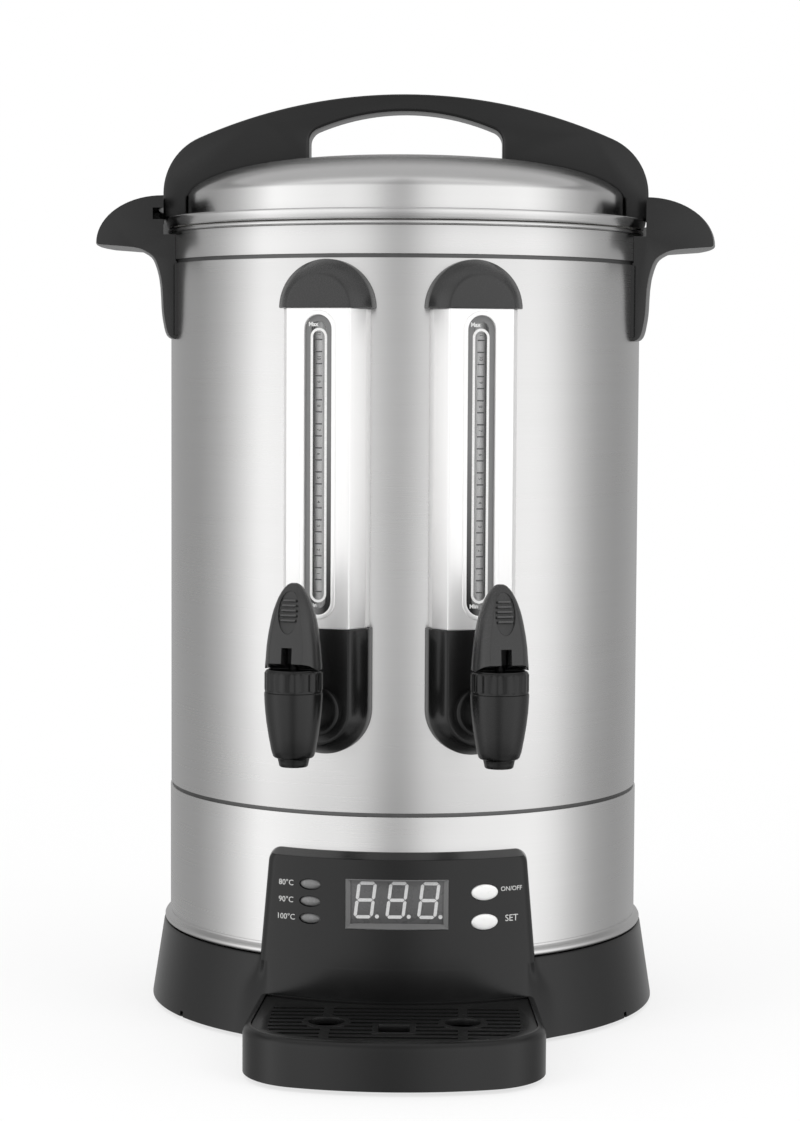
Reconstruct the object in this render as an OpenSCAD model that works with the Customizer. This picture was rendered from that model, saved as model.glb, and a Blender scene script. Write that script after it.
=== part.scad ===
// Countertop hot water urn with two self-closing taps, two sight gauges and a digital console.
// Millimetres. The origin is on the urn's axis, on the surface that it stands on. -Y is the front.

/* [Shell] */
// Outside diameter of the main steel shell
shell_d = 270; // [268:0.5:272]
// Sheet steel thickness
sheet = 0.8; // [0.6:0.1:1]
// Height of the seam between the lower and the main shell
seam_z = 126.4; // [124:0.2:128]
// Height of the joint under the rim collar
collar_z = 425.6; // [425:0.2:426]
// Height of the top of the rim collar
rim_z = 442; // [441.5:0.1:442.3]

/* [Base] */
// How far the rubber feet lift the base
foot_stand = 2; // [1.5:0.5:3]
// Height of the top edge of the base skirt
skirt_top_z = 46.2; // [46:0.1:48]
// Radius of the skirt at its top edge
skirt_top_r = 139.2; // [138.8:0.2:140]
// Radius of the skirt at its foot
skirt_foot_r = 146; // [145:0.5:147]
// Wall thickness of the black mouldings
wall = 3; // [2.5:0.5:3.5]
// Radius of the circle of the feet
foot_circle_r = 105; // [100:1:110]

/* [Console] */
// Height of the console's top edge
console_top_z = 106.4; // [105.5:0.2:107]
// Radius of the console's face at its top edge
console_top_r = 146; // [145.5:0.5:146.5]
// Half width of the console at its top
console_top_half = 69.4; // [68:0.2:71]
// Half width of the console at the skirt
console_foot_half = 74.6; // [73:0.2:76]
// Angle from the middle of the console to the buttons and to the lenses
key_angle = 18.7; // [18:0.1:19.5]
// Heights of the ON/OFF and the SET button
button_z = [85.7, 69.7];
// Heights of the three indicator lenses
lens_z = [89.2, 80, 70.7];
// Display window, width and height
display_size = [55.6, 27.2];
// Height of the middle of the display
display_z = 79.8; // [78:0.2:81]
// Travel of the buttons
button_travel = 1; // [0.6:0.1:1.2]

/* [Drip tray] */
// Reach of the tray from the urn's axis
tray_reach = 238; // [232:1:242]
// Half width of the tray
tray_half = 78.7; // [77:0.1:81]
// Radius of the tray's corners
tray_corner_r = 38; // [36:1:40]
// Radius of the bowed front edge
tray_bow_r = 180; // [176:1:190]
// Height of the tray's rim
tray_top_z = 27.3; // [27:0.1:28]

/* [Gauges and taps] */
// Angle of each gauge and tap from the front
gauge_angle = 16.5; // [16:0.1:17]
// Radius of the flat front of a gauge
gauge_front_r = 152; // [151.5:0.1:152.5]
// Height of the bottom edge of the bright cover
cover_bottom_z = 227.6; // [226:0.2:229]
// Height of the top edge of the bright cover
cover_top_z = 397.5; // [396.5:0.1:398]
// Height of the tap's shank
shank_z = 184; // [183:0.5:185]
// Distance of the tap's axis from the urn's axis
tap_reach = 188; // [186:1:190]
// Greatest radius of a tap
tap_r = 15.4; // [15.2:0.1:15.6]
// Height of the lever's pin
pin_z = 223; // [222.5:0.1:223.5]
// Height of the lever's tip
lever_top_z = 254.8; // [253:0.2:256]

/* [Lid and handles] */
// Radius of the lid's upright wall
lid_r = 125.5; // [125:0.1:126]
// Height of the lid's upright wall
lid_wall_z = 463; // [462:0.5:464]
// Height of the crown of the lid
lid_top_z = 486; // [485:0.5:487]
// Height of the top of the lid handle
arch_top_z = 522; // [520:0.5:524]
// Half span of the lid handle
arch_half = 138.9; // [138.5:0.1:140]
// Width of the lid handle, front to back
arch_w = 30; // [28:1:32]
// Height of the top of the finger opening
grip_top_z = 512.4; // [511:0.2:513]
// Half length of the finger opening
grip_half = 55.3; // [54:0.1:57]
// Reach of a side handle from the urn's axis
handle_reach = 177.4; // [176:0.2:180]
// Half width of a side handle
handle_half = 42; // [40:1:43]

/* [Hidden] */
$fn = 96;
black = [0.07, 0.07, 0.075];
steel = [0.75, 0.75, 0.76];
left = -1;
right = 1;
play = 0.3; // space between pieces that move past each other
over = 1; // how far a cutting shape passes its face
shell_r = shell_d / 2;
base_z = foot_stand; // underside of the skirt

// skirt
skirt_chamfer = 0.8;
skirt_inner_r = 134; // the underside is open inside this radius
upstand_r = shell_r - 0.7; // ring that centres the lower shell
upstand_top_z = 58;
plate_z = 4; // underside of the bottom cover
plate_t = 2.5;
plate_r = 140;
boss_r = 5;
boss_circle_r = 129;
boss_angles = [45, 135, 225, 315];
notch_angles = [-57, 61]; // moulded notches in the skirt's foot
notch_w = 3.2;
foot_r = [10, 11]; // at the floor and at the bottom cover
foot_stub_r = 3;
screw_head_r = 3.4;
screw_r = 1.6;

// console
console_face_slope = 1.5 / 79; // the face leans back as it rises
console_foot_r = console_top_r + 1.5;
console_corner = 6.5;
ledge_drop = 2.6; // the top ledge slopes down to the face
console_cavity_z = [61, 102];
window_cut_half = 58; // opening in the lower shell behind the console
board_y = -127; // front face of the control board
board_z = 63;
board_size = [110, 1.6, 38];
post_x = 32;
post_z = [64.5, 98];
post_rho = 141.5;
key_x = 44; // key switches behind the buttons
key_size = [6, 3.5, 6];
display_rho = [144.2, 146]; // the window's back and front
display_body = [54, 14, 26.8];
button_size = [7.4, 4.25]; // half axes of a button
lens_size = [5.9, 2.8];
lens_rho = [141, 146];
button_gap = 0.35;
button_proud = 0.6; // what still stands out when a button is pressed
button_face_rho = console_top_r + button_proud + button_travel;
button_back_rho = 141.3;
flange_t = 1.3;
flange_lip = 1.2;
wall_rho = [136, 160]; // cutters through the console's wall run between these
skirt_hollow_half = console_foot_half - wall - play; // hollow behind the console, below the skirt's top

// drip tray
tray_floor_z = 9;
tray_under_z = 6;
grille_z = 22.8; // underside of the tray cover
grille_t = 3.5;
grille_inset = 4.5;
basin_inset = 7.2;
slot_rows = 9;
slot_w = 3.4;
slot_pitch = 7.9;
slot_front_y = -223;
slot_half = 65.5;
target_x = 35.5;
target_y = -187;
target_r = 9.5;
target_ring_r = 13;
finger_hole = [16.5, 16];
finger_y = -201;

// mains inlet
inlet_z = 26;
inlet_face_y = 140;
inlet_pad_size = [40, 8, 34];
inlet_flange = [32, 2, 26];
inlet_body = [28, 22, 20];
socket_size = [24, 15.5, 16];
pin_size = [2, 10.5, 4];
pin_places = [[-7, -1.5], [7, -1.5], [0, 2.5]];

// tank and heater
tank_r = shell_r - 7;
tank_floor_z = 150;
rim_bead_r = shell_r + 1.9;
rim_bead_top_z = rim_z + 2.4;
heater_r = 75;
heater_t = 5;
coil_r = 55;
coil_rod_r = 4;
coil_z = tank_floor_z - heater_t - coil_rod_r;

// gauges
cover_half = 23.2;
cover_sheet = 1.5;
cap_r = 26.1;
housing_r = 24.7;
side_rho = 141;
front_half = 17.8;
slot_half_w = 7.6;
slot_z = [235, 393.9];
bezel_w = 2.4;
bezel_rise = 0.6;
tube_rho = 143.5;
tube_r = 4.5;
tube_wall = 1.1;
gauge_back_rho = 128; // the gauges start inside the shell, and are cut back to it
tube_z = [202, 404.5];
socket_r = 4.6;
gland_r = 6.2;

// taps
shank_r = 6;
shank_bore_r = 4.5;
neck_r = 9.5;
seat_z = 172;
outlet_z = 159;
outlet_r = 5.5;
chamber_r = 9.5;
bonnet_z = 198;
bonnet_top_z = 209.4;
bonnet_bore_r = 8;
bonnet_roof = 3.4;
stem_r = 2.2;
stem_play = 0.05; // running clearance of the stem and of the pin
pin_r = 1.25;
pin_half = 12.6;
blade_w = 7;
lever_gap = 0.5;
lever_slot_w = 5.2;
spring_turns = 6;
spring_wire_r = 0.7;
spring_r = 5.6;
spring_z = [187.8, 205.7];

// lid and handles
lid_sheet = 0.8;
flange_top_z = 450.8;
flange_foot_z = 445;
flange_r = 138;
flange_draft = 1.4; // the lid's skirt is drawn in at its foot
dome_p = 3.3; // the dome is a superellipse
dome_q = 1.5;
arch_big_r = 292;
arch_corner_r = 34.7;
grip_big_r = 130;
grip_corner_r = 8;
arch_wall = 4;
lid_screw_x = 90;
handle_axis = 60; // the side handles curve about a line this far past the urn's axis
handle_inner_r = 142.2;
handle_top_z = 462.5;
handle_foot_z = 381.5;
lock_slot_r = 148;
lock_slot_z = [449, 455.5];
handle_screw_z = [393, 412];
handle_screw_l = 6.8;
handle_leg = [ // under the grip and down the outside of the leg
    [165, 434], [160, 433.6], [153.6, 432.6], [150.3, 431.2], [146, 428.3], [144.2, 425.4], [143.1, 422.6],
    [141.6, 416.8], [140.9, 411.1], [140.5, 405.3], [140.3, 399.6], [139.7, 393.8], [138.7, 388], [137.7, 385.2],
    [136.4, 383.2], [134.2, 381.8]
];

// ---------- helpers ----------

// Mirrored copies share one module: side is left or right.
module at_gauge(side) rotate([0, 0, side * gauge_angle]) children();
module at_tap(side) at_gauge(side) translate([0, -tap_reach, 0]) children();

// A rod that points away from the urn's axis, between two distances from it
module radial_rod(r, rho_0, rho_1, z)
    translate([0, -rho_0, z]) rotate([90, 0, 0]) cylinder(r = r, h = rho_1 - rho_0);

// A long hole with round ends, upright in a gauge's front
module stadium(half_w, z_0, z_1, rho_0, rho_1) {
    radial_rod(half_w, rho_0, rho_1, z_0 + half_w);
    radial_rod(half_w, rho_0, rho_1, z_1 - half_w);
    translate([-half_w, -rho_1, z_0 + half_w]) cube([2 * half_w, rho_1 - rho_0, z_1 - z_0 - 2 * half_w]);
}

// An oval bar that points away from the urn's axis
module oval_bar(half_axes, rho_0, rho_1, z)
    translate([0, -rho_0, z]) rotate([90, 0, 0])
        linear_extrude(rho_1 - rho_0)
            polygon([for (a = [0:10:350]) [half_axes[0] * cos(a), half_axes[1] * sin(a)]]);

// What stands on the shell is cut back to it with this drum.
module shell_drum() cylinder(r = shell_r, h = 600);

module ring(r_in, r_out, z_0, z_1)
    translate([0, 0, z_0]) difference() {
        cylinder(r = r_out, h = z_1 - z_0);
        translate([0, 0, -over]) cylinder(r = r_in, h = z_1 - z_0 + 2 * over);
    }

function arc_points(centre, r, from, to, steps) =
    [for (i = [0:steps]) let (a = from + (to - from) * i / steps) centre + r * [cos(a), sin(a)]];

// ---------- base ----------

function face_r(z) = console_foot_r - (z - tray_top_z) * console_face_slope;

// The console's outline from the front, drawn in by an inset: upright beside the skirt, narrower above it
module console_front(inset, z_0, z_1) {
    lean = (console_foot_half - console_top_half) / (console_top_z - skirt_top_z);
    function half_at(z) = console_top_half - inset + lean * (console_top_z - max(z, skirt_top_z));
    low_z = z_0 < skirt_top_z ? [z_0, skirt_top_z] : [z_0];
    corner_z = z_1 - console_corner;
    rotate([90, 0, 0]) linear_extrude(200)
        polygon(concat(
            [for (z = low_z) [half_at(z), z]],
            [[half_at(corner_z), corner_z]],
            arc_points([half_at(z_1) - console_corner, corner_z], console_corner, 30, 90, 4),
            arc_points([-half_at(z_1) + console_corner, corner_z], console_corner, 90, 150, 4),
            [[-half_at(corner_z), corner_z]],
            [for (i = [len(low_z) - 1:-1:0]) [-half_at(low_z[i]), low_z[i]]]
        ));
}

// A block behind the console's face, from an inner radius to the face less a depth
module console_block(r_in, depth, inset, z_0, z_1)
    intersection() {
        console_front(inset, z_0, z_1);
        rotate_extrude() polygon([
            [r_in, z_0], [face_r(z_0) - depth, z_0], [face_r(z_1) - depth, z_1 - (depth > 0 ? 0 : ledge_drop)],
            [r_in, z_1]
        ]);
    }

// The tray's outline: straight sides, round corners and a bowed front
function tray_points(inset) =
    let (
        corner_r = tray_corner_r - inset,
        bow_y = -(tray_reach - tray_bow_r),
        centre_x = tray_half - tray_corner_r,
        centre_y = bow_y - sqrt(pow(tray_bow_r - tray_corner_r, 2) - centre_x * centre_x),
        turn = asin(centre_x / (tray_bow_r - tray_corner_r)),
        foot_y = -120
    ) concat(
        [[console_foot_half - inset, foot_y]],
        arc_points([centre_x, centre_y], corner_r, 0, -90 + turn, 8),
        arc_points([0, bow_y], tray_bow_r - inset, -90 + turn, -90 - turn, 8),
        arc_points([-centre_x, centre_y], corner_r, -90 - turn, -180, 8),
        [[-console_foot_half + inset, foot_y]]
    );

module tray_prism(inset, z_0, z_1)
    translate([0, 0, z_0]) linear_extrude(z_1 - z_0) polygon(tray_points(inset));

// The tray's rim is rounded off in steps.
module tray_body() {
    tray_prism(0, base_z, tray_top_z - 5);
    for (a = [20:20:80])
        tray_prism(4 * (1 - cos(a)), base_z + wall, tray_top_z - 5 * (1 - sin(a + 10)));
}

module skirt()
    rotate_extrude() polygon([
        [skirt_foot_r - skirt_chamfer, base_z], [skirt_foot_r - 0.1, base_z + skirt_chamfer],
        [skirt_top_r, skirt_top_z], [upstand_r, skirt_top_z], [upstand_r, upstand_top_z],
        [upstand_r - wall, upstand_top_z], [upstand_r - wall, skirt_top_z - wall],
        [skirt_top_r - wall, skirt_top_z - wall], [skirt_foot_r - wall - 0.5, base_z]
    ]);

module inlet_pad()
    translate([-inlet_pad_size[0] / 2, inlet_face_y - 1 - inlet_pad_size[1], inlet_z - inlet_pad_size[2] / 2])
        cube(inlet_pad_size);

module base_boss(angle) rotate([0, 0, angle]) {
    translate([boss_circle_r, 0, plate_z + plate_t]) cylinder(r = boss_r, h = skirt_top_z - plate_z - plate_t);
    translate([boss_circle_r, -wall / 2, 14]) cube([11, wall, skirt_top_z - 15]);
}

module board_posts()
    for (x = [-post_x, post_x], z = post_z)
        translate([x, -post_rho, z]) rotate([-90, 0, 0]) cylinder(r = 2.5, h = post_rho + board_y);

module base_housing() color(black)
    difference() {
        union() {
            difference() {
                union() {
                    skirt();
                    console_block(shell_r + 0.4, 0, 0, base_z, console_top_z);
                    tray_body();
                }
                // hollow behind the console's face, above and below the top of the skirt
                console_block(110, wall, wall, console_cavity_z[0], console_cavity_z[1]);
                intersection() {
                    translate([-skirt_hollow_half, -wall_rho[1], base_z - over])
                        cube([2 * skirt_hollow_half, 60, skirt_top_z - wall - base_z + over]);
                    cylinder(r = console_top_r - wall, h = 60);
                }
                // inside of the skirt, the seat of the bottom cover, and the hollow under the tray
                translate([0, 0, base_z - over])
                    cylinder(r = skirt_inner_r, h = skirt_top_z - wall - base_z + over);
                translate([0, 0, base_z - over])
                    cylinder(r = plate_r + play, h = plate_z + plate_t + play - base_z + over);
                difference() {
                    tray_prism(wall, base_z - over, tray_under_z);
                    translate([0, 0, -over]) cylinder(r = face_r(0), h = 30);
                }
                // basin under the tray cover, and the seat of the cover
                difference() {
                    union() {
                        tray_prism(basin_inset, tray_floor_z, tray_top_z + over);
                        tray_prism(grille_inset - play, grille_z - play, tray_top_z + over);
                    }
                    cylinder(r = face_r(0) + 0.4, h = 60);
                }
            }
            inlet_pad();
            for (a = boss_angles) base_boss(a);
            board_posts();
        }
        // pilot holes for the screws of the bottom cover
        for (a = boss_angles) rotate([0, 0, a]) translate([boss_circle_r, 0, 0]) cylinder(r = screw_r, h = 24);
        // display window, lenses and buttons
        display_opening();
        for (z = lens_z) rotate([0, 0, -key_angle]) oval_bar(lens_size, wall_rho[0], wall_rho[1], z);
        for (z = button_z) rotate([0, 0, key_angle])
            oval_bar([for (half = button_size) half + button_gap], wall_rho[0], wall_rho[1], z);
        // flat pocket and hole of the mains inlet
        inlet_box([inlet_flange[0] + 2, 20, inlet_flange[2] + 2], inlet_face_y - inlet_flange[1]);
        inlet_box([inlet_body[0], 30, inlet_body[2]], inlet_face_y - 20);
        for (a = notch_angles) rotate([0, 0, a])
            translate([-notch_w / 2, -150, base_z - over]) cube([notch_w, 6, 4.4]);
    }

module base_plate() color([0.16, 0.16, 0.17])
    difference() {
        union() {
            translate([0, 0, plate_z]) cylinder(r = plate_r, h = plate_t);
            // posts of the power board
            for (x = [-45, 45], y = [25, 85]) translate([x, y, plate_z]) cylinder(r = 3.5, h = 16);
        }
        for (a = boss_angles) rotate([0, 0, a]) {
            translate([boss_circle_r, 0, 0]) cylinder(r = screw_r + play, h = 20);
            translate([foot_circle_r, 0, 0]) cylinder(r = foot_stub_r, h = 20);
        }
        // vents
        for (i = [-3:3]) translate([-30, i * 9 - 1.5, 0]) cube([60, 3, 20]);
    }

module rubber_feet() color([0.1, 0.1, 0.1])
    for (a = boss_angles) rotate([0, 0, a]) translate([foot_circle_r, 0, 0]) {
        cylinder(r1 = foot_r[0], r2 = foot_r[1], h = plate_z);
        cylinder(r = foot_stub_r, h = plate_z + plate_t);
    }

module base_screws() color(steel)
    for (a = boss_angles) rotate([0, 0, a]) translate([boss_circle_r, 0, 0]) {
        translate([0, 0, plate_z - 1.8]) cylinder(r = screw_head_r, h = 1.8);
        translate([0, 0, plate_z - 1]) cylinder(r = screw_r, h = 18);
    }

// A box centred on the inlet, that runs back from a given y
module inlet_box(size, y)
    translate([-size[0] / 2, y, inlet_z - size[2] / 2]) cube(size);

module power_inlet() color([0.12, 0.12, 0.13])
    difference() {
        union() {
            inlet_box(inlet_flange, inlet_face_y - inlet_flange[1]);
            inlet_box(inlet_body, inlet_face_y - inlet_body[1]);
        }
        inlet_box([socket_size[0], 30, socket_size[2]], inlet_face_y - socket_size[1]);
    }

module inlet_pins() color([0.8, 0.65, 0.3])
    for (p = pin_places)
        translate([p[0] - pin_size[0] / 2, inlet_face_y - socket_size[1], inlet_z + p[1] - pin_size[2] / 2])
            cube(pin_size);

// ---------- console pieces ----------

module control_board() color([0.1, 0.35, 0.2]) {
    translate([-board_size[0] / 2, board_y, board_z]) cube(board_size);
    for (z = button_z) translate([key_x, board_y, z]) {
        translate([-key_size[0] / 2, -key_size[1], -key_size[2] / 2]) cube(key_size);
        rotate([90, 0, 0]) cylinder(r = 1.5, h = 5.3);
    }
}

module power_board() color([0.1, 0.35, 0.2]) {
    translate([-50, 20, 20]) cube([100, 70, 1.6]);
    translate([-42, 30, 21.6]) cube([28, 24, 22]);
    translate([10, 30, 21.6]) cube([20, 16, 18]);
    for (x = [-30, -14, 18, 34]) translate([x, 75, 21.6]) cylinder(r = 6, h = 20);
}

module display_module() color([0.3, 0.3, 0.31])
    translate([-display_body[0] / 2, board_y - display_body[1], display_z - display_body[2] / 2])
        cube(display_body);

module display_opening()
    translate([-display_size[0] / 2, -wall_rho[1], display_z - display_size[1] / 2])
        cube([display_size[0], 30, display_size[1]]);

module display_window() color([0.42, 0.42, 0.43])
    intersection() {
        display_opening();
        ring(display_rho[0], display_rho[1], 60, 100);
    }

module indicator_lenses() color([0.5, 0.5, 0.5])
    for (z = lens_z) rotate([0, 0, -key_angle]) oval_bar(lens_size, lens_rho[0], lens_rho[1], z);

module console_button(z) color([0.92, 0.92, 0.92])
    rotate([0, 0, key_angle]) {
        oval_bar(button_size, button_back_rho, button_face_rho, z);
        oval_bar([button_size[0] + flange_lip, button_size[1] + flange_lip],
            button_back_rho, button_back_rho + flange_t, z);
    }
module power_button() console_button(button_z[0]);
module set_button() console_button(button_z[1]);

// ---------- drip tray cover ----------

module grille_solid_parts() {
    for (x = [-target_x, target_x]) translate([x, target_y, 0]) {
        cylinder(r = target_ring_r, h = 60);
        translate([-2.5, -60, 0]) cube([5, 100, 60]);
    }
    translate([-finger_hole[0] / 2 - 3, finger_y - finger_hole[1] / 2 - 3, 0])
        cube([finger_hole[0] + 6, finger_hole[1] + 6, 60]);
}

module grille_slots()
    difference() {
        intersection() {
            for (i = [0:slot_rows - 1])
                translate([-slot_half, slot_front_y + i * slot_pitch, 0]) cube([2 * slot_half, slot_w, 60]);
            difference() {
                tray_prism(grille_inset + 7, 0, 60);
                cylinder(r = face_r(0) + 7, h = 60);
            }
        }
        grille_solid_parts();
    }

module drip_grille() color(black)
    difference() {
        tray_prism(grille_inset, grille_z, grille_z + grille_t);
        cylinder(r = face_r(0) + 0.8, h = 60);
        grille_slots();
        for (x = [-target_x, target_x]) translate([x, target_y, 0]) cylinder(r = target_r, h = 60);
        translate([-finger_hole[0] / 2, finger_y - finger_hole[1] / 2, 0])
            cube([finger_hole[0], finger_hole[1], 60]);
    }

// ---------- shells and tank ----------

module lower_shell() color(steel)
    difference() {
        rotate_extrude() polygon([
            [shell_r - 0.4, skirt_top_z], [skirt_top_r - 1.2, skirt_top_z],
            [skirt_top_r - 0.5, skirt_top_z + 1.2],
            [skirt_top_r - 0.5, skirt_top_z + 2.6], [skirt_top_r - 1.6, skirt_top_z + 3.8],
            [shell_r + 0.4, skirt_top_z + 4], [shell_r + 0.4, seam_z], [shell_r - sheet - 0.1, seam_z],
            [shell_r - sheet - 0.1, seam_z + 8], [shell_r - 2 * sheet, seam_z + 8],
            [shell_r - 2 * sheet, seam_z - 5], [shell_r - 0.4, seam_z - 5.8]
        ]);
        // the console stands in front of this opening
        translate([-window_cut_half, -160, console_cavity_z[0]])
            cube([2 * window_cut_half, 100, console_cavity_z[1] - console_cavity_z[0]]);
        // the console interrupts the foot bead
        intersection() {
            console_front(-0.2, 40, 60);
            ring(shell_r + 0.4, 150, 40, 60);
        }
    }

module outer_shell() color(steel)
    difference() {
        ring(shell_r - sheet, shell_r, seam_z + 0.2, collar_z - 0.2);
        for (side = [left, right]) {
            at_gauge(side) radial_rod(shank_r + 0.3, 100, 160, shank_z);
            for (z = handle_screw_z)
                translate([side * 130, 0, z]) rotate([0, side * 90, 0]) cylinder(r = 2.6, h = 10);
        }
    }

module rim_collar() color(steel)
    rotate_extrude() polygon([
        [tank_r + 0.1, collar_z], [shell_r + 0.5, collar_z], [shell_r + 0.5, rim_z], [shell_r - 0.3, rim_z],
        [shell_r - 0.3, collar_z + sheet], [tank_r + 0.1, collar_z + sheet]
    ]);

module inner_tank() color(steel)
    difference() {
        rotate_extrude() polygon([
            [0, tank_floor_z], [tank_r, tank_floor_z], [tank_r, rim_z], [rim_bead_r - 0.6, rim_z],
            [rim_bead_r, rim_z + 0.7], [rim_bead_r, rim_bead_top_z - 0.7], [rim_bead_r - 0.6, rim_bead_top_z],
            [tank_r - sheet, rim_bead_top_z], [tank_r - sheet, tank_floor_z + sheet], [0, tank_floor_z + sheet]
        ]);
        for (side = [left, right]) at_gauge(side) radial_rod(shank_r + 0.3, 100, 140, shank_z);
    }

module heater_plate() color([0.7, 0.7, 0.7])
    translate([0, 0, tank_floor_z - heater_t]) cylinder(r = heater_r, h = heater_t);

module heating_coil() color([0.35, 0.35, 0.36]) {
    rotate([0, 0, 15])
        rotate_extrude(angle = 330) translate([coil_r, coil_z]) circle(r = coil_rod_r, $fn = 48);
    for (side = [left, right])
        rotate([0, 0, side * 15]) translate([coil_r, 0, coil_z - 20]) cylinder(r = 3, h = 20);
}

module thermal_cutout() color([0.85, 0.85, 0.8]) {
    translate([0, 0, 136]) cylinder(r = 8.5, h = tank_floor_z - heater_t - 136);
    for (x = [-5, 5]) translate([x - 0.4, -2.5, 128]) cube([0.8, 5, 8]);
}

module temperature_sensor() color([0.75, 0.75, 0.75])
    translate([28, 0, 0]) {
        translate([0, 0, 137]) cylinder(r = 3, h = tank_floor_z - heater_t - 137);
        translate([-1.5, -1.5, 130]) cube([3, 3, 7]);
    }

// ---------- gauges ----------

// Half of a frustum that closes the end of a gauge: half is 1 for the upper half
module gauge_end(r, front_r, z, half, back_rho)
    intersection() {
        translate([0, 0, z]) rotate([90, 0, 0]) rotate_extrude()
            polygon([
                [0, back_rho], [r, back_rho], [r, side_rho], [front_r, gauge_front_r], [0, gauge_front_r]
            ]);
        translate([-40, -200, half > 0 ? z : z - 60]) cube([80, 200, 60]);
    }

module gauge_bar(half_w, front_w, rho_back, rho_side, rho_front, z_0, z_1)
    translate([0, 0, z_0]) linear_extrude(z_1 - z_0)
        polygon([
            [-half_w, -rho_back], [-half_w, -rho_side], [-front_w, -rho_front],
            [front_w, -rho_front], [half_w, -rho_side], [half_w, -rho_back]
        ]);

module gauge_cap(side) color(black)
    difference() {
        at_gauge(side) {
            difference() {
                gauge_end(cap_r, front_half, cover_top_z, 1, gauge_back_rho);
                translate([0, 2, -over]) gauge_end(cap_r - 2, front_half - 2, cover_top_z, 1, 120);
            }
            // socket of the sight tube's upper end
            difference() {
                translate([-8, -150.2, cover_top_z + 1]) cube([16, 16, 10]);
                translate([0, -tube_rho, cover_top_z]) cylinder(r = gland_r, h = 7);
            }
        }
        shell_drum();
    }

module gauge_cover(side) color([0.9, 0.9, 0.91])
    difference() {
        at_gauge(side)
            difference() {
                union() {
                    gauge_bar(cover_half, front_half, gauge_back_rho, side_rho, gauge_front_r,
                        cover_bottom_z, cover_top_z);
                    stadium(slot_half_w + bezel_w, slot_z[0] - bezel_w, slot_z[1] + bezel_w, 151,
                        gauge_front_r + bezel_rise);
                }
                gauge_bar(cover_half - cover_sheet, front_half - 0.9, 120, side_rho - 0.5,
                    gauge_front_r - cover_sheet, cover_bottom_z - over, cover_top_z + over);
                stadium(slot_half_w, slot_z[0], slot_z[1], 148, 156);
            }
        shell_drum();
    }

module gauge_window(side) color([0.85, 0.9, 0.92, 0.4])
    at_gauge(side)
        stadium(slot_half_w + 2.6, slot_z[0] - 2.6, slot_z[1] + 2.6, 149.1, gauge_front_r - cover_sheet);

module scale_plate(side) color([0.25, 0.25, 0.26])
    at_gauge(side) translate([-10, -137.6, 229]) cube([20, 1, 168]);

module sight_tube(side) color([0.85, 0.9, 0.92, 0.4])
    at_gauge(side) translate([0, -tube_rho, 0]) ring(tube_r - tube_wall, tube_r, tube_z[0], tube_z[1]);

module tube_seals() color([0.8, 0.78, 0.75])
    for (side = [left, right]) at_gauge(side) translate([0, -tube_rho, 0]) {
        ring(tube_r, gland_r, 212, 216);
        ring(tube_r, gland_r, cover_top_z + 1.5, cover_top_z + 6);
    }

// ---------- taps ----------

module tap_housing(side) color(black)
    difference() {
        at_gauge(side)
            difference() {
                union() {
                    gauge_end(housing_r, front_half, shank_z, -1, gauge_back_rho);
                    gauge_bar(housing_r, front_half, gauge_back_rho, side_rho, gauge_front_r,
                        shank_z, cover_bottom_z);
                }
                translate([0, 2, 0]) gauge_end(housing_r - 2, front_half - 2, shank_z, -1, 120);
                gauge_bar(housing_r - 2, front_half - 2, 120, side_rho - 2, gauge_front_r - 2,
                    shank_z - over, cover_bottom_z + over);
                radial_rod(neck_r + 0.1, 140, 160, shank_z);
            }
        shell_drum();
    }

module tap_shank(side) color([0.72, 0.66, 0.5])
    at_gauge(side)
        difference() {
            union() {
                radial_rod(shank_r, 116, 166, shank_z);
                radial_rod(8.5, 136.6, 150, shank_z);
                translate([0, -tube_rho, shank_z]) cylinder(r = gland_r, h = 212 - shank_z);
            }
            radial_rod(shank_bore_r, 110, 170, shank_z);
            translate([0, -tube_rho, shank_z]) cylinder(r = 3, h = 40);
            translate([0, -tube_rho, tube_z[0]]) cylinder(r = socket_r, h = 20);
        }

module shank_nuts() color(steel)
    for (side = [left, right]) at_gauge(side)
        difference() {
            union() {
                translate([0, -119.5, shank_z]) rotate([90, 0, 0]) cylinder(r = 12, h = 5, $fn = 6);
                radial_rod(12.5, 124.5, 126, shank_z);
            }
            radial_rod(shank_r, 110, 140, shank_z);
        }

module tap_body(side) color(black)
    at_tap(side)
        difference() {
            union() {
                rotate_extrude() polygon([
                    [0, outlet_z], [7, outlet_z], [7.6, outlet_z + 1], [8.2, outlet_z + 4],
                    [10.4, outlet_z + 4.6], [11.8, outlet_z + 8.5], [13.3, outlet_z + 16],
                    [14.7, outlet_z + 26], [tap_r, bonnet_z - 2], [tap_r, bonnet_z], [0, bonnet_z]
                ]);
                translate([0, tap_reach, 0]) radial_rod(neck_r, 150.4, tap_reach, shank_z);
            }
            translate([0, 0, outlet_z - over]) cylinder(r = outlet_r, h = 30);
            translate([0, 0, seat_z]) cylinder(r = chamber_r, h = 40);
            translate([0, tap_reach, 0]) {
                radial_rod(shank_r, 140, 166, shank_z);
                radial_rod(shank_bore_r, 165, tap_reach, shank_z);
            }
        }

module tap_bonnet(side) color(black)
    at_tap(side)
        difference() {
            union() {
                translate([0, 0, bonnet_z]) cylinder(r = tap_r - 0.6, h = bonnet_top_z - bonnet_z);
                for (a = [0:18:342]) rotate([0, 0, a])
                    translate([10, -1.3, bonnet_z]) cube([tap_r - 10, 2.6, bonnet_top_z - bonnet_z - 0.6]);
            }
            translate([0, 0, bonnet_z - over])
                cylinder(r = bonnet_bore_r, h = bonnet_top_z - bonnet_z - bonnet_roof + over);
            cylinder(r = stem_r + stem_play, h = 300);
        }

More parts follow.
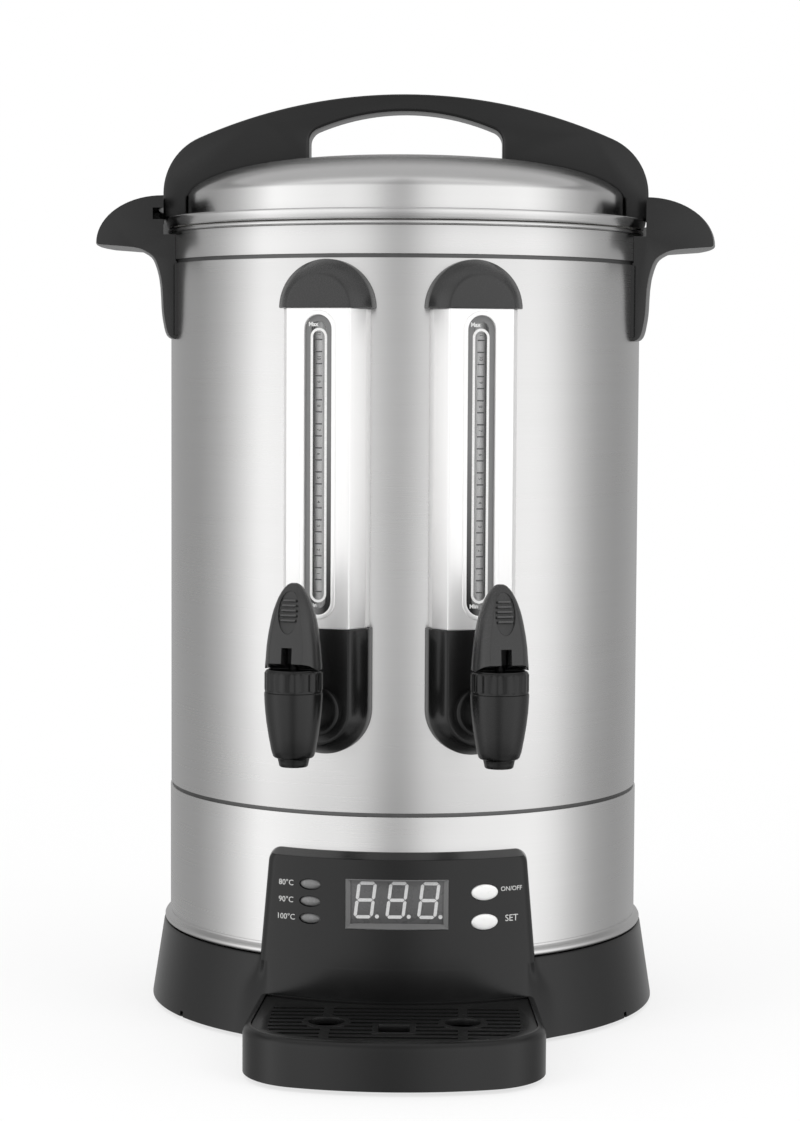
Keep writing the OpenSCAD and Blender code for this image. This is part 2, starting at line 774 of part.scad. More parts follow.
module tap_stem(side) color([0.7, 0.7, 0.7])
    at_tap(side)
        difference() {
            union() {
                translate([0, 0, 175]) cylinder(r = stem_r, h = 38);
                translate([0, 0, 186]) cylinder(r = 7.2, h = 1.5);
                translate([-stem_r, -blade_w / 2, 213]) cube([2 * stem_r, blade_w, 13.5]);
            }
            translate([-10, 0, pin_z]) rotate([0, 90, 0]) cylinder(r = pin_r + stem_play, h = 20);
        }

module seat_cup(side) color([0.55, 0.55, 0.55])
    at_tap(side)
        difference() {
            translate([0, 0, seat_z + play]) union() {
                cylinder(r = 8.2, h = 3);
                translate([0, 0, 3]) cylinder(r1 = 8.2, r2 = 4.4, h = 4.5);
            }
            translate([0, 0, 175]) cylinder(r = stem_r, h = 20);
        }

module tap_spring(side) color([0.8, 0.8, 0.8])
    at_tap(side) translate([0, 0, spring_z[0]])
        linear_extrude(spring_z[1] - spring_z[0], twist = -360 * spring_turns, slices = 96, segments = 6)
            polygon([for (a = [0:60:300]) [spring_r + spring_wire_r * cos(a), 2.2 * spring_wire_r * sin(a)]]);

// The lever is a pointed oval, cut flat in front and behind as it rises.
module lever_blank()
    intersection() {
        rotate_extrude() polygon([
            [0, bonnet_top_z + lever_gap], [tap_r, bonnet_top_z + lever_gap], [15.1, 215], [14.3, 220],
            [13.2, 225.5], [12, 231.5], [10.6, 237.5], [9, 243], [6.9, 248.8], [4.6, 252.6], [2.2, 254.4],
            [0, lever_top_z]
        ]);
        rotate([90, 0, 90]) translate([0, 0, -20]) linear_extrude(40)
            polygon([
                [-15.5, 200], [-12.4, 212], [-9.7, 236], [-6.9, 247.5], [-1.6, 255.6], [4.6, 256], [13.5, 226],
                [15.5, 200]
            ]);
    }

module tap_lever(side) color(black)
    at_tap(side)
        difference() {
            lever_blank();
            // slot for the stem's blade, open to the front
            translate([-lever_slot_w / 2, -20, 205]) cube([lever_slot_w, 28, 17.2]);
            translate([-lever_slot_w / 2, -8, 205]) cube([lever_slot_w, 14, 26]);
            // the front edge clears the bonnet as the lever tips
            translate([0, -21, bonnet_top_z - over]) cylinder(r = 12, h = 2.8 + over);
            translate([-20, 0, pin_z]) rotate([0, 90, 0]) cylinder(r = pin_r, h = 40);
        }

module lever_pin(side) color(steel)
    at_tap(side) translate([-pin_half, 0, pin_z]) rotate([0, 90, 0]) cylinder(r = pin_r, h = 2 * pin_half);

// ---------- side handles ----------

// Outline of a side handle, with x measured from the urn's axis
function handle_outline() =
    let (top_x = 140.6, mid_z = 436) concat(
        [[120, handle_top_z]],
        [for (a = [90:-10:0])
            [top_x + (handle_reach - top_x) * cos(a), mid_z + (handle_top_z - mid_z) * sin(a)]],
        [[handle_reach - 1, 434.9]],
        handle_leg,
        [[120, handle_foot_z]]
    );

module handle_bow(side)
    translate([-side * handle_axis, 0, 0])
        intersection() {
            rotate_extrude() polygon([for (p = handle_outline()) [p[0] + handle_axis, p[1]]]);
            translate([side > 0 ? 0 : -300, -handle_half, 300]) cube([300, 2 * handle_half, 300]);
        }

// Thin flange that lies on the shell on both sides of the leg
module handle_flange(side)
    intersection() {
        ring(shell_r - 2, shell_r + 1.8, handle_foot_z + 2, collar_z - 1.6);
        translate([side > 0 ? 0 : -200, -handle_half - 3, 300]) cube([200, 2 * handle_half + 6, 300]);
    }

// The lid is locked by a turn, so the slot opens to the front on the left and to the back on the right.
module lock_slot(side)
    intersection() {
        ring(130, lock_slot_r, lock_slot_z[0], lock_slot_z[1]);
        translate([side > 0 ? 0 : -200, side > 0 ? -14 : -60, 400]) cube([200, 74, 100]);
    }

module side_handle(side) color(black)
    difference() {
        union() {
            handle_bow(side);
            handle_flange(side);
        }
        shell_drum();
        translate([0, 0, collar_z - 0.6]) cylinder(r = shell_r + 0.5, h = 100);
        translate([0, 0, 440.5]) cylinder(r = handle_inner_r, h = 100);
        lock_slot(side);
        for (z = handle_screw_z)
            translate([side * 120, 0, z]) rotate([0, side * 90, 0]) cylinder(r = 2.5, h = 17.8);
    }

module handle_screws() color(steel)
    for (side = [left, right], z = handle_screw_z)
        translate([side * 130.6, 0, z]) rotate([0, side * 90, 0]) {
            cylinder(r = 4.4, h = 3.2);
            cylinder(r = 2.5, h = handle_screw_l);
        }

// ---------- lid ----------

function dome_z(r, big_r, foot_z, height) = foot_z + height * pow(1 - pow(r / big_r, dome_p), 1 / dome_q);
function dome_points(inset) =
    let (big_r = lid_r - inset, height = lid_top_z - lid_wall_z) concat(
        [for (a = [0:10:80])
            let (r = big_r * pow(cos(a), 0.45)) [r, dome_z(r, big_r, lid_wall_z - inset, height)]],
        [[0, lid_top_z - inset]]
    );

module lid_outline(rim_points)
    polygon(concat(
        [[0, flange_foot_z]],
        rim_points,
        [[lid_r + 0.8, flange_top_z], [lid_r, flange_top_z + 0.8]],
        dome_points(0)
    ));

module lid_shell() color(steel)
    difference() {
        rotate_extrude() lid_outline([
            [flange_r - flange_draft, flange_foot_z], [flange_r, flange_top_z - 2], [flange_r, flange_top_z - 1],
            [flange_r - 1, flange_top_z]
        ]);
        translate([0, 0, flange_foot_z - over])
            cylinder(r1 = flange_r - lid_sheet - flange_draft, r2 = flange_r - lid_sheet,
                h = flange_top_z - lid_sheet - flange_foot_z + over);
        rotate_extrude()
            polygon(concat([[0, flange_foot_z], [lid_r - lid_sheet, flange_foot_z]], dome_points(lid_sheet)));
        for (x = [-lid_screw_x, lid_screw_x]) translate([x, 0, 440]) cylinder(r = 2.6, h = 60);
    }

// Outline of the arch or of the finger opening: a flat arc with a small arc at each end
function arch_points(half, top_z, big_r, corner_r, foot_z) =
    let (
        centre_z = top_z - big_r,
        corner_x = half - corner_r,
        turn = asin(corner_x / (big_r - corner_r)),
        corner_z = centre_z + (big_r - corner_r) * cos(turn)
    ) concat(
        [[half, foot_z]],
        arc_points([corner_x, corner_z], corner_r, 0, 90 - turn, 6),
        arc_points([0, centre_z], big_r, 90 - turn, 90 + turn, 14),
        arc_points([-corner_x, corner_z], corner_r, 90 + turn, 180, 6),
        [[-half, foot_z]]
    );

module arch_prism(half, top_z, big_r, corner_r, foot_z, w)
    translate([0, w / 2, 0]) rotate([90, 0, 0]) linear_extrude(w)
        polygon(arch_points(half, top_z, big_r, corner_r, foot_z));

module lid_handle() color(black)
    difference() {
        union() {
            difference() {
                arch_prism(arch_half, arch_top_z, arch_big_r, arch_corner_r, flange_top_z - 3, arch_w);
                // the ends are hollow, apart from the grip
                difference() {
                    arch_prism(arch_half - arch_wall, arch_top_z - arch_wall, arch_big_r,
                        arch_corner_r - arch_wall, 400, arch_w - 2 * arch_wall);
                    arch_prism(grip_half + arch_wall, grip_top_z + 30, grip_big_r, grip_corner_r, 400, arch_w);
                }
            }
            for (x = [-lid_screw_x, lid_screw_x]) translate([x, 0, 460]) cylinder(r = 6, h = 42);
            for (side = [left, right]) intersection() {
                ring(130, 141.6, flange_top_z - 2, 454.4);
                translate([side > 0 ? 0 : -200, -8, 440]) cube([200, 16, 30]);
            }
        }
        arch_prism(grip_half, grip_top_z, grip_big_r, grip_corner_r, 440, arch_w + 2 * over);
        // it stands on the lid
        rotate_extrude() lid_outline([[150, flange_foot_z], [150, flange_top_z]]);
        for (x = [-lid_screw_x, lid_screw_x]) translate([x, 0, 440]) cylinder(r = 2.5, h = 53);
    }

module lid_handle_screws() color(steel)
    for (x = [-lid_screw_x, lid_screw_x]) translate([x, 0, 0]) {
        translate([0, 0, 475.3]) cylinder(r = 4.5, h = 3);
        translate([0, 0, 476]) cylinder(r = 2.5, h = 16.5);
    }

module lid_gasket() color([0.6, 0.6, 0.6])
    ring(129.5, 134.5, rim_bead_top_z + play, flange_top_z - lid_sheet - play);

// ---------- drawing ----------

base_housing();
base_plate();
rubber_feet();
base_screws();
lower_shell();
outer_shell();
rim_collar();
inner_tank();
heater_plate();
heating_coil();
thermal_cutout();
temperature_sensor();
control_board();
power_board();
display_module();
display_window();
indicator_lenses();
power_button();
set_button();
drip_grille();
power_inlet();
inlet_pins();
side_handle(left);  // side_handle_left
side_handle(right);  // side_handle_right
handle_screws();
lid_shell();
lid_handle();
lid_handle_screws();
lid_gasket();
shank_nuts();
tube_seals();
gauge_cap(left);  // gauge_cap_left
gauge_cap(right);  // gauge_cap_right
gauge_cover(left);  // gauge_cover_left
gauge_cover(right);  // gauge_cover_right
gauge_window(left);  // gauge_window_left
gauge_window(right);  // gauge_window_right
scale_plate(left);  // scale_plate_left
scale_plate(right);  // scale_plate_right
sight_tube(left);  // sight_tube_left
sight_tube(right);  // sight_tube_right
tap_housing(left);  // tap_housing_left
tap_housing(right);  // tap_housing_right
tap_shank(left);  // tap_shank_left
tap_shank(right);  // tap_shank_right
tap_body(left);  // tap_body_left
tap_body(right);  // tap_body_right
tap_bonnet(left);  // tap_bonnet_left
tap_bonnet(right);  // tap_bonnet_right
tap_stem(left);  // tap_stem_left
tap_stem(right);  // tap_stem_right
tap_lever(left);  // tap_lever_left
tap_lever(right);  // tap_lever_right
lever_pin(left);  // lever_pin_left
lever_pin(right);  // lever_pin_right
tap_spring(left);  // tap_spring_left
tap_spring(right);  // tap_spring_right
seat_cup(left);  // seat_cup_left
seat_cup(right);  // seat_cup_right
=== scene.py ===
import math
import bmesh
import bpy
from mathutils import Matrix, Vector


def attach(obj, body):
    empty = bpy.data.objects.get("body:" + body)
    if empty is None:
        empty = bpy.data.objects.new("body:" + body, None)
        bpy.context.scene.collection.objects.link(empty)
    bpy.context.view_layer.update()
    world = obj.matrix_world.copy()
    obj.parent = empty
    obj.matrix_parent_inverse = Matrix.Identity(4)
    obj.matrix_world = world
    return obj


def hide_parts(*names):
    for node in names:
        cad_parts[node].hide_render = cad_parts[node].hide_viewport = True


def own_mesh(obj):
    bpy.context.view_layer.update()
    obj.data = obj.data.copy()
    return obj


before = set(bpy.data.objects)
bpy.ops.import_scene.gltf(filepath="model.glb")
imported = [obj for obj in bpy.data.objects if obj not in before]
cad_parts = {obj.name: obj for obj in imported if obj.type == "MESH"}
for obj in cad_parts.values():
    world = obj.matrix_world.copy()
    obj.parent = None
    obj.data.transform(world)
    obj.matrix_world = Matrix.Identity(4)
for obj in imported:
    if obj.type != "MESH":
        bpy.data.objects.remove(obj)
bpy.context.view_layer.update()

mm = 0.001
pi = math.pi
gaugeAngle = math.radians(16.5)      # each gauge and tap, from the front
sides = {"left": -1, "right": 1}
shellRadius = 135


# mesh helpers: everything is drawn in millimetres and lands in metres

def leaveEditMode():
    if bpy.context.mode != "OBJECT":
        bpy.ops.object.mode_set(mode="OBJECT")


def selectOnly(piece):
    leaveEditMode()
    bpy.ops.object.select_all(action="DESELECT")
    piece.select_set(True)
    bpy.context.view_layer.objects.active = piece
    return piece


def editAll(piece):
    selectOnly(piece)
    bpy.ops.object.mode_set(mode="EDIT")
    bpy.ops.mesh.select_all(action="SELECT")


def traceLine(name, points):
    # one vertex, walked along the points, left in edit mode with the whole line selected
    leaveEditMode()
    bpy.ops.object.select_all(action="DESELECT")
    start = Vector(points[0]) * mm
    bpy.ops.mesh.primitive_plane_add(size=mm, location=start)
    piece = bpy.context.active_object
    piece.name = name
    piece.data.name = name
    bpy.ops.object.transform_apply(location=True, rotation=True, scale=True)
    bpy.ops.object.mode_set(mode="EDIT")
    bpy.ops.mesh.select_all(action="SELECT")
    bpy.ops.mesh.merge(type="CENTER")
    for here, there in zip(points, points[1:]):
        step = (Vector(there) - Vector(here)) * mm
        bpy.ops.mesh.extrude_vertices_move(TRANSFORM_OT_translate={"value": step})
    bpy.ops.mesh.select_all(action="SELECT")
    return piece


def tidyMesh(piece, gap=0.004):
    editAll(piece)
    bpy.ops.mesh.remove_doubles(threshold=gap * mm)
    bpy.ops.mesh.delete_loose(use_verts=True, use_edges=True, use_faces=False)
    bpy.ops.mesh.select_all(action="SELECT")
    bpy.ops.mesh.normals_make_consistent(inside=False)
    leaveEditMode()
    return piece


def dropSlivers(piece, gap=0.0008):
    # takes out the faces without any width that bevels and cuts leave
    editAll(piece)
    bpy.ops.mesh.dissolve_degenerate(threshold=gap * mm)
    leaveEditMode()
    return piece


def turned(name, profile, steps=192, centre=(0, 0), wall=False):
    # profile holds (radius, height); a wall's profile is a closed loop
    points = [(centre[0] + r, centre[1], z) for r, z in profile]
    if wall:
        points.append(points[0])
    piece = traceLine(name, points)
    x, y = centre
    bpy.ops.mesh.spin(steps=steps, angle=2 * pi, center=(x * mm, y * mm, 0), axis=(0, 0, 1))
    return tidyMesh(piece)


def slab(name, outline, push):
    # a flat outline filled and pushed out
    piece = traceLine(name, outline)
    bpy.ops.mesh.edge_face_add()
    bpy.ops.mesh.extrude_region_move(TRANSFORM_OT_translate={"value": Vector(push) * mm})
    return tidyMesh(piece)


def block(name, low, high):
    # a box between two corners
    x0, y0, z0 = low
    x1, y1, z1 = high
    return slab(name, [(x0, y0, z0), (x1, y0, z0), (x1, y1, z0), (x0, y1, z0)], (0, 0, z1 - z0))


def arc(centre, radius, fromDeg, toDeg, steps):
    # points along an arc, in degrees
    turn = [math.radians(fromDeg + (toDeg - fromDeg) * i / steps) for i in range(steps + 1)]
    return [(centre[0] + radius * math.cos(a), centre[1] + radius * math.sin(a)) for a in turn]


def onFront(points, y):
    # (x, z) points stood up in a plane that faces the front
    return [(x, y, z) for x, z in points]


def stadium(half, low, high, steps=12):
    # an upright outline with round ends
    return arc((0, high - half), half, 0, 180, steps) + arc((0, low + half), half, 180, 360, steps)


def modify(piece, kind, **settings):
    # adds a modifier and applies it
    selectOnly(piece)
    modifier = piece.modifiers.new(kind.lower(), kind)
    for name, value in settings.items():
        setattr(modifier, name, value)
    bpy.ops.object.modifier_apply(modifier=modifier.name)
    return piece


def roundEdges(piece, width, segments=3, angle=35):
    return modify(piece, "BEVEL", width=width * mm, segments=segments, limit_method="ANGLE",
                  angle_limit=math.radians(angle), miter_outer="MITER_ARC", use_clamp_overlap=True)


def cut(piece, *tools, operation="DIFFERENCE"):
    # the tools are used up
    for tool in tools:
        modify(piece, "BOOLEAN", object=tool, operation=operation, solver="EXACT")
        bpy.data.objects.remove(tool)
    return piece


def join(piece, *others):
    selectOnly(piece)
    for other in others:
        other.select_set(True)
    bpy.ops.object.join()
    return piece


def copied(piece, name, turn=0.0, mirror=False, move=(0, 0, 0)):
    # a copy with its own mesh, moved, then turned about the axis, then mirrored
    twin = piece.copy()
    twin.data = piece.data.copy()
    twin.name = name
    twin.data.name = name
    bpy.context.scene.collection.objects.link(twin)
    place = Matrix.Rotation(turn, 4, "Z") @ Matrix.Translation(Vector(move) * mm)
    if mirror:
        place = Matrix.Diagonal((-1, 1, 1, 1)) @ place
    twin.data.transform(place)
    if mirror:
        twin.data.flip_normals()
    return twin


def smooth(piece, angle=32):
    selectOnly(piece)
    bpy.ops.object.shade_smooth_by_angle(angle=math.radians(angle))
    return piece


def finish(piece, material, body, slotName, *nodes):
    # the last step of every piece: shading, material, body and the nodes it stands for
    smooth(piece)
    piece.data.materials.clear()
    piece.data.materials.append(material)
    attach(piece, body)
    if nodes:
        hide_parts(*nodes)
    return piece


# material helpers

class Socket:
    # an output of a node, which can be added, multiplied and divided
    def __init__(self, sheet, link):
        self.sheet = sheet
        self.link = link

    def maths(self, operation, other):
        return self.sheet.add("ShaderNodeMath", {"operation": operation}, {0: self, 1: other})

    def __add__(self, other):
        return self.maths("ADD", other)

    def __mul__(self, other):
        return self.maths("MULTIPLY", other)

    def __truediv__(self, other):
        return self.maths("DIVIDE", other)


class Sheet:
    # one material's or world's node sheet
    def __init__(self, name, kind="materials", shader="Principled BSDF"):
        self.owner = getattr(bpy.data, kind).new(name)
        self.owner.use_nodes = True
        self.tree = self.owner.node_tree
        self.shader = self.tree.nodes.get(shader)

    def add(self, kind, settings=None, inputs=None, output=0):
        node = self.tree.nodes.new(kind)
        for name, value in (settings or {}).items():
            setattr(node, name, value)
        for name, value in (inputs or {}).items():
            self.feed(node.inputs[name], value)
        return Socket(self, node.outputs[output])

    def feed(self, target, value):
        if isinstance(value, Socket):
            self.tree.links.new(value.link, target)
        else:
            target.default_value = value

    def shade(self, **inputs):
        # sets the main shader's inputs by short names
        names = {"colour": "Base Color", "rough": "Roughness", "metal": "Metallic",
                 "normal": "Normal", "alpha": "Alpha", "coat": "Coat Weight",
                 "coatRough": "Coat Roughness", "specular": "Specular IOR Level",
                 "stretch": "Anisotropic", "stretchTurn": "Anisotropic Rotation"}
        for name, value in inputs.items():
            self.feed(self.shader.inputs[names[name]], value)
        return self.owner

    def output(self, kind, value):
        self.feed(self.tree.nodes[kind].inputs["Surface"], value)
        return self.owner

    def spot(self):
        # where a point lies on its object
        return self.add("ShaderNodeTexCoord", output=3)

    def axis(self, spot, number):
        return self.add("ShaderNodeSeparateXYZ", inputs={"Vector": spot}, output=number)

    def noise(self, scale, detail=2.0, stretch=(1, 1, 1)):
        place = self.add("ShaderNodeMapping", inputs={"Vector": self.spot(), "Scale": stretch})
        return self.add("ShaderNodeTexNoise", inputs={"Vector": place, "Scale": scale,
                                                      "Detail": detail})

    def remap(self, value, low, high, fromLow=0.3, fromHigh=0.7):
        return self.add("ShaderNodeMapRange", inputs={
            "Value": value, "From Min": fromLow, "From Max": fromHigh, "To Min": low,
            "To Max": high})

    def blend(self, mask, first, second, way="MIX"):
        return self.add("ShaderNodeMix", {"data_type": "RGBA", "blend_type": way},
                        {0: mask, 6: first, 7: second}, 2)

    def bump(self, height, strength, distance):
        return self.add("ShaderNodeBump", inputs={"Height": height, "Strength": strength,
                                                  "Distance": distance * mm})


def grey(level, warm=0.0):
    # a grey colour, a little warm where asked
    return (level * (1 + warm), level, level * (1 - warm), 1)


grainScale = 2600


def mouldedPlastic(name, dark, light, rough, grainDepth, specular=0.42):
    # satin moulding: a fine spark-eroded grain and a slow drift of tone
    sheet = Sheet(name)
    drift = sheet.noise(14, 3)
    grain = sheet.noise(grainScale, 1)
    tone = sheet.remap(drift * 0.8 + grain * 0.2, 0, 1)
    return sheet.shade(
        colour=sheet.blend(tone, grey(dark), grey(light)),
        rough=sheet.remap(drift * 0.5 + grain * 0.5, *rough),
        normal=sheet.bump(grain, 0.25, grainDepth),
        specular=specular)


def brushedSteel(name, tone, rough, direction, depth, drift=0.02, stretch=0.7, metal=1.0):
    # fine brush lines along one direction, a slow drift of tone and a few longer strokes
    sheet = Sheet(name)
    lines = sheet.noise(1, 2, direction)
    strokes = sheet.noise(0.16, 3, direction)
    cloud = sheet.noise(9, 2)
    mix = lines * 0.5 + strokes * 0.3 + cloud * 0.2
    low, high = grey(tone * (1 - drift), 0.006), grey(tone * (1 + drift), 0.004)
    return sheet.shade(
        colour=sheet.blend(sheet.remap(mix, 0, 1), low, high),
        rough=sheet.remap(lines * 0.6 + cloud * 0.4, *rough),
        normal=sheet.bump(lines, 0.12, depth),
        metal=metal, stretch=stretch, stretchTurn=0.25)


def plainMetal(name, tone, rough, tint=(1, 1, 1)):
    sheet = Sheet(name)
    cloud = sheet.noise(120, 3)
    low = tuple(tone * 0.92 * t for t in tint) + (1,)
    high = tuple(tone * 1.05 * t for t in tint) + (1,)
    return sheet.shade(colour=sheet.blend(sheet.remap(cloud, 0, 1), low, high),
                       rough=sheet.remap(cloud, rough * 0.85, rough * 1.2), metal=1.0)


def softRubber(name, colour, rough):
    sheet = Sheet(name)
    grain = sheet.noise(1500, 2)
    dark = tuple(c * 0.85 for c in colour) + (1,)
    return sheet.shade(colour=sheet.blend(sheet.remap(grain, 0, 1), dark, (*colour, 1)),
                       rough=sheet.remap(grain, rough - 0.05, rough + 0.06),
                       normal=sheet.bump(grain, 0.2, 0.02))


def clearPlastic(name, tone, alpha, rough):
    sheet = Sheet(name)
    cloud = sheet.noise(60, 2)
    return sheet.shade(colour=sheet.blend(sheet.remap(cloud, 0, 1), grey(tone * 0.95), grey(tone)),
                       rough=sheet.remap(cloud, rough * 0.8, rough * 1.3), alpha=alpha)


def glossyPlastic(name, colour, rough, mottle=0.04):
    sheet = Sheet(name)
    cloud = sheet.noise(300, 3)
    dark = tuple(c * (1 - mottle) for c in colour) + (1,)
    return sheet.shade(colour=sheet.blend(sheet.remap(cloud, 0, 1), dark, (*colour, 1)),
                       rough=sheet.remap(cloud, rough * 0.85, rough * 1.2), coat=0.25,
                       coatRough=0.1)


blackMoulding = mouldedPlastic("black moulding", 0.0027, 0.0038, (0.20, 0.27), 0.01, 0.37)
handleMoulding = mouldedPlastic("handle moulding", 0.0045, 0.0062, (0.22, 0.29), 0.01)
tapMoulding = mouldedPlastic("tap moulding", 0.003, 0.0045, (0.22, 0.29), 0.008, 0.37)
leverMoulding = mouldedPlastic("lever moulding", 0.021, 0.028, (0.22, 0.30), 0.008)
# the ridges are the lever's own black plastic made lighter: painted highlight on their relief
ridgeHighlightMoulding = mouldedPlastic("ridges with painted highlight", 0.045, 0.06, (0.3, 0.38), 0.006, 0.5)
coverMoulding = mouldedPlastic("tray cover moulding", 0.0055, 0.0075, (0.34, 0.42), 0.012, 0.36)
shellSteel = brushedSteel("satin shell steel", 0.60, (0.26, 0.31), (14, 14, 900), 0.0015)
lidSteel = brushedSteel("spun lid steel", 0.62, (0.20, 0.27), (40, 40, 1400), 0.0015)
tankSteel = brushedSteel("tank steel", 0.60, (0.24, 0.30), (14, 14, 700), 0.002)
coverSteel = brushedSteel("satin cover steel", 0.86, (0.36, 0.42), (900, 900, 10), 0.001,
                          drift=0.015, stretch=0.3, metal=0.55)
# the seam steel is far darker than the shells: painted shade in the grooves between them
seamShadeMetal = plainMetal("seam", 0.10, 0.35)
screwSteel = plainMetal("zinc plated screws", 0.6, 0.3)
stemSteel = plainMetal("stem steel", 0.6, 0.25)
darkStem = plainMetal("blackened stem", 0.02, 0.5)
brass = plainMetal("turned brass", 0.75, 0.3, (1, 0.82, 0.5))
aluminium = plainMetal("cast aluminium", 0.62, 0.45)
elementMetal = plainMetal("element sheath", 0.2, 0.5)
footRubber = softRubber("foot rubber", (0.02, 0.02, 0.02), 0.75)
siliconeSeal = softRubber("silicone seal", (0.55, 0.54, 0.51), 0.5)
seatRubber = softRubber("seat rubber", (0.16, 0.16, 0.16), 0.55)
gaugeGlass = clearPlastic("gauge window", 0.5, 0.10, 0.08)
tubeGlass = clearPlastic("sight tube", 0.72, 0.85, 0.2)
buttonWhite = glossyPlastic("white button", (0.93, 0.93, 0.92), 0.3)
lensGrey = glossyPlastic("grey lens", (0.17, 0.17, 0.17), 0.25, 0.12)
ceramic = glossyPlastic("ceramic", (0.7, 0.69, 0.64), 0.4)
displayFrameGrey = mouldedPlastic("display frame", 0.13, 0.16, (0.4, 0.5), 0.01)
displayGrey = glossyPlastic("display window", (0.085, 0.085, 0.086), 0.28, 0.06)
digitWhite = softRubber("digit white", (0.72, 0.72, 0.72), 0.4)
printWhite = softRubber("white print", (0.66, 0.66, 0.65), 0.55)
gaugeWhite = softRubber("gauge print", (0.86, 0.86, 0.85), 0.5)
printGrey = softRubber("grey print", (0.07, 0.07, 0.07), 0.55)
boardGreen = softRubber("circuit board", (0.02, 0.12, 0.05), 0.4)
print("materials ready")


# shells: the main shell, the lower shell with its foot bead, the rim collar and the tank

shell = {"low": 127.1, "high": 424.6, "bead": 46.2, "steps": 256,
         "seams": (("shellSeam", 126.15), ("collarSeam", 425.55))}


def makeShells():
    r = shellRadius
    low, high = shell["low"], shell["high"]
    main = turned("outerShell", [
        (r - 0.8, low), (r - 0.75, low + 0.1), (r - 0.3, low), (r - 0.08, low + 0.12),
        (r, low + 0.4), (r, high - 0.5), (r - 0.1, high - 0.15), (r - 0.35, high),
        (r - 0.8, high)], shell["steps"], wall=True)
    finish(main, shellSteel, "urn", "shell_steel", "outer_shell")
    ledge = shell["bead"]
    lower = turned("lowerShell", [
        (r - 1.7, 120), (r - 1.7, 134), (r - 0.95, 134), (r - 0.95, 125.3), (r + 0.05, 125.25),
        (r + 0.3, 125.1), (r + 0.4, 124.75), (r + 0.4, ledge + 6.6), (r + 0.1, ledge + 6.2),
        (r + 0.1, ledge + 5.2), (r + 0.6, ledge + 4.6), (r + 2.0, ledge + 4.1),
        (r + 3.0, ledge + 3.5), (r + 3.5, ledge + 2.6), (r + 3.5, ledge + 1.7),
        (r + 3.0, ledge + 0.8), (r + 2.2, ledge + 0.3), (r + 1.2, ledge + 0.1),
        (r - 0.4, ledge + 0.1), (r - 0.4, 120)], shell["steps"], wall=True)
    finish(lower, shellSteel, "urn", "shell_steel", "lower_shell")
    collar = turned("rimCollar", [
        (r - 7.7, 425.7), (r - 0.9, 425.7), (r - 0.9, 426.5), (r + 0.2, 426.5), (r + 0.42, 426.62),
        (r + 0.5, 426.9), (r + 0.5, 441.3), (r + 0.35, 441.75), (r, 441.9), (r - 0.3, 441.9),
        (r - 0.3, 427.2), (r - 7.7, 427.2)],
        shell["steps"], wall=True)
    finish(collar, shellSteel, "urn", "shell_steel", "rim_collar")
    # the seam bands sit in the grooves; their dark steel is painted shade
    for name, z in shell["seams"]:
        seam = turned(name, [(r - 0.9, z - 1.1), (r - 0.55, z - 1.05), (r - 0.5, z),
                             (r - 0.55, z + 1.0), (r - 0.9, z + 1.05)], shell["steps"], wall=True)
        finish(seam, seamShadeMetal, "urn", "shell_steel")
    bead = arc((135.7, 443.25), 1.2, -80, 80, 8)
    outside = [(0, 150), (126, 150), (127.4, 150.6), (128, 152), (128, 441.95), (134.9, 442.0)]
    inside = [(134.9, 444.42), (128, 444.4), (127.4, 444.1), (127.2, 443.6), (127.2, 152.4),
              (126.7, 151.3), (125.6, 150.8), (0, 150.8)]
    tank = turned("innerTank", outside + bead + inside)
    finish(tank, tankSteel, "urn", "shell_steel", "inner_tank")


makeShells()
print("shells made")


# lid: a spun dome on an upright wall, a flange and a short skirt

lid = {"wallRadius": 125.5, "wallTop": 463, "top": 486, "flange": 450.8, "flangeRadius": 138,
       "foot": 445, "fullness": 2.9, "shoulder": 1.75, "sheet": 0.8, "rimRound": 1.3, "fillet": 1.2}


def domeHeight(r, inset=0.0):
    # the dome is flat in the middle and falls off towards its wall
    share = min(r / (lid["wallRadius"] - inset), 1)
    rise = (1 - share ** lid["fullness"]) ** (1 / lid["shoulder"])
    return lid["wallTop"] - inset + (lid["top"] - lid["wallTop"]) * rise


def domeLine(inset, steps=30):
    big = lid["wallRadius"] - inset
    radii = [big * math.cos(pi / 2 * i / steps) ** 0.45 for i in range(steps)] + [0]
    return [(r, domeHeight(r, inset)) for r in radii]


def makeLid():
    r, flat, edge, t = lid["wallRadius"], lid["flange"], lid["flangeRadius"], lid["sheet"]
    foot, rim, fillet = lid["foot"], lid["rimRound"], lid["fillet"]
    outside = [(edge - 1.4 - t, foot), (edge - 1.55, foot), (edge - 1.4, foot + 0.15),
               (edge - 1.0, foot + 1.2), (edge - 0.5, foot + 2.5), (edge - 0.15, foot + 3.6)]
    outside += arc((edge - rim, flat - rim), rim, 0, 90, 6)
    outside += [(r + fillet - fillet * math.sin(a), flat + fillet - fillet * math.cos(a))
                for a in (0, pi / 8, pi / 4, 3 * pi / 8)]
    outside += domeLine(0)
    inside = domeLine(t)[::-1] + [(r - t, flat - t), (edge - 1.2, flat - t),
                                  (edge - 0.9, foot + 3.6)]
    top = turned("lidShell", outside + inside, 256, wall=True)
    finish(top, lidSteel, "lid", "lid_steel", "lid_shell")
    gasket = turned("lidGasket", [
        (129.5, 445.2), (129.9, 444.75), (131, 444.7), (131.6, 445.6), (132.4, 445.6), (133, 444.7),
        (134.1, 444.75), (134.5, 445.2), (134.5, 449.6), (129.5, 449.6)], 160, wall=True)
    finish(gasket, siliconeSeal, "lid_seal", "seal_silicone", "lid_gasket")


makeLid()
print("lid made")


# lid handle: an arch cut out for the fingers, standing on the flange and along the dome

arch = {"half": 138.9, "top": 522, "bigRadius": 292, "cornerRadius": 34.7, "width": 30,
        "gripHalf": 55.3, "gripTop": 512.4, "gripRadius": 130, "gripCorner": 8, "edge": 1.7,
        "sink": 0.35, "footEnd": 118, "lugInner": 132, "lugOuter": 141.6, "lugHalf": 8,
        "lugTop": 454.4}


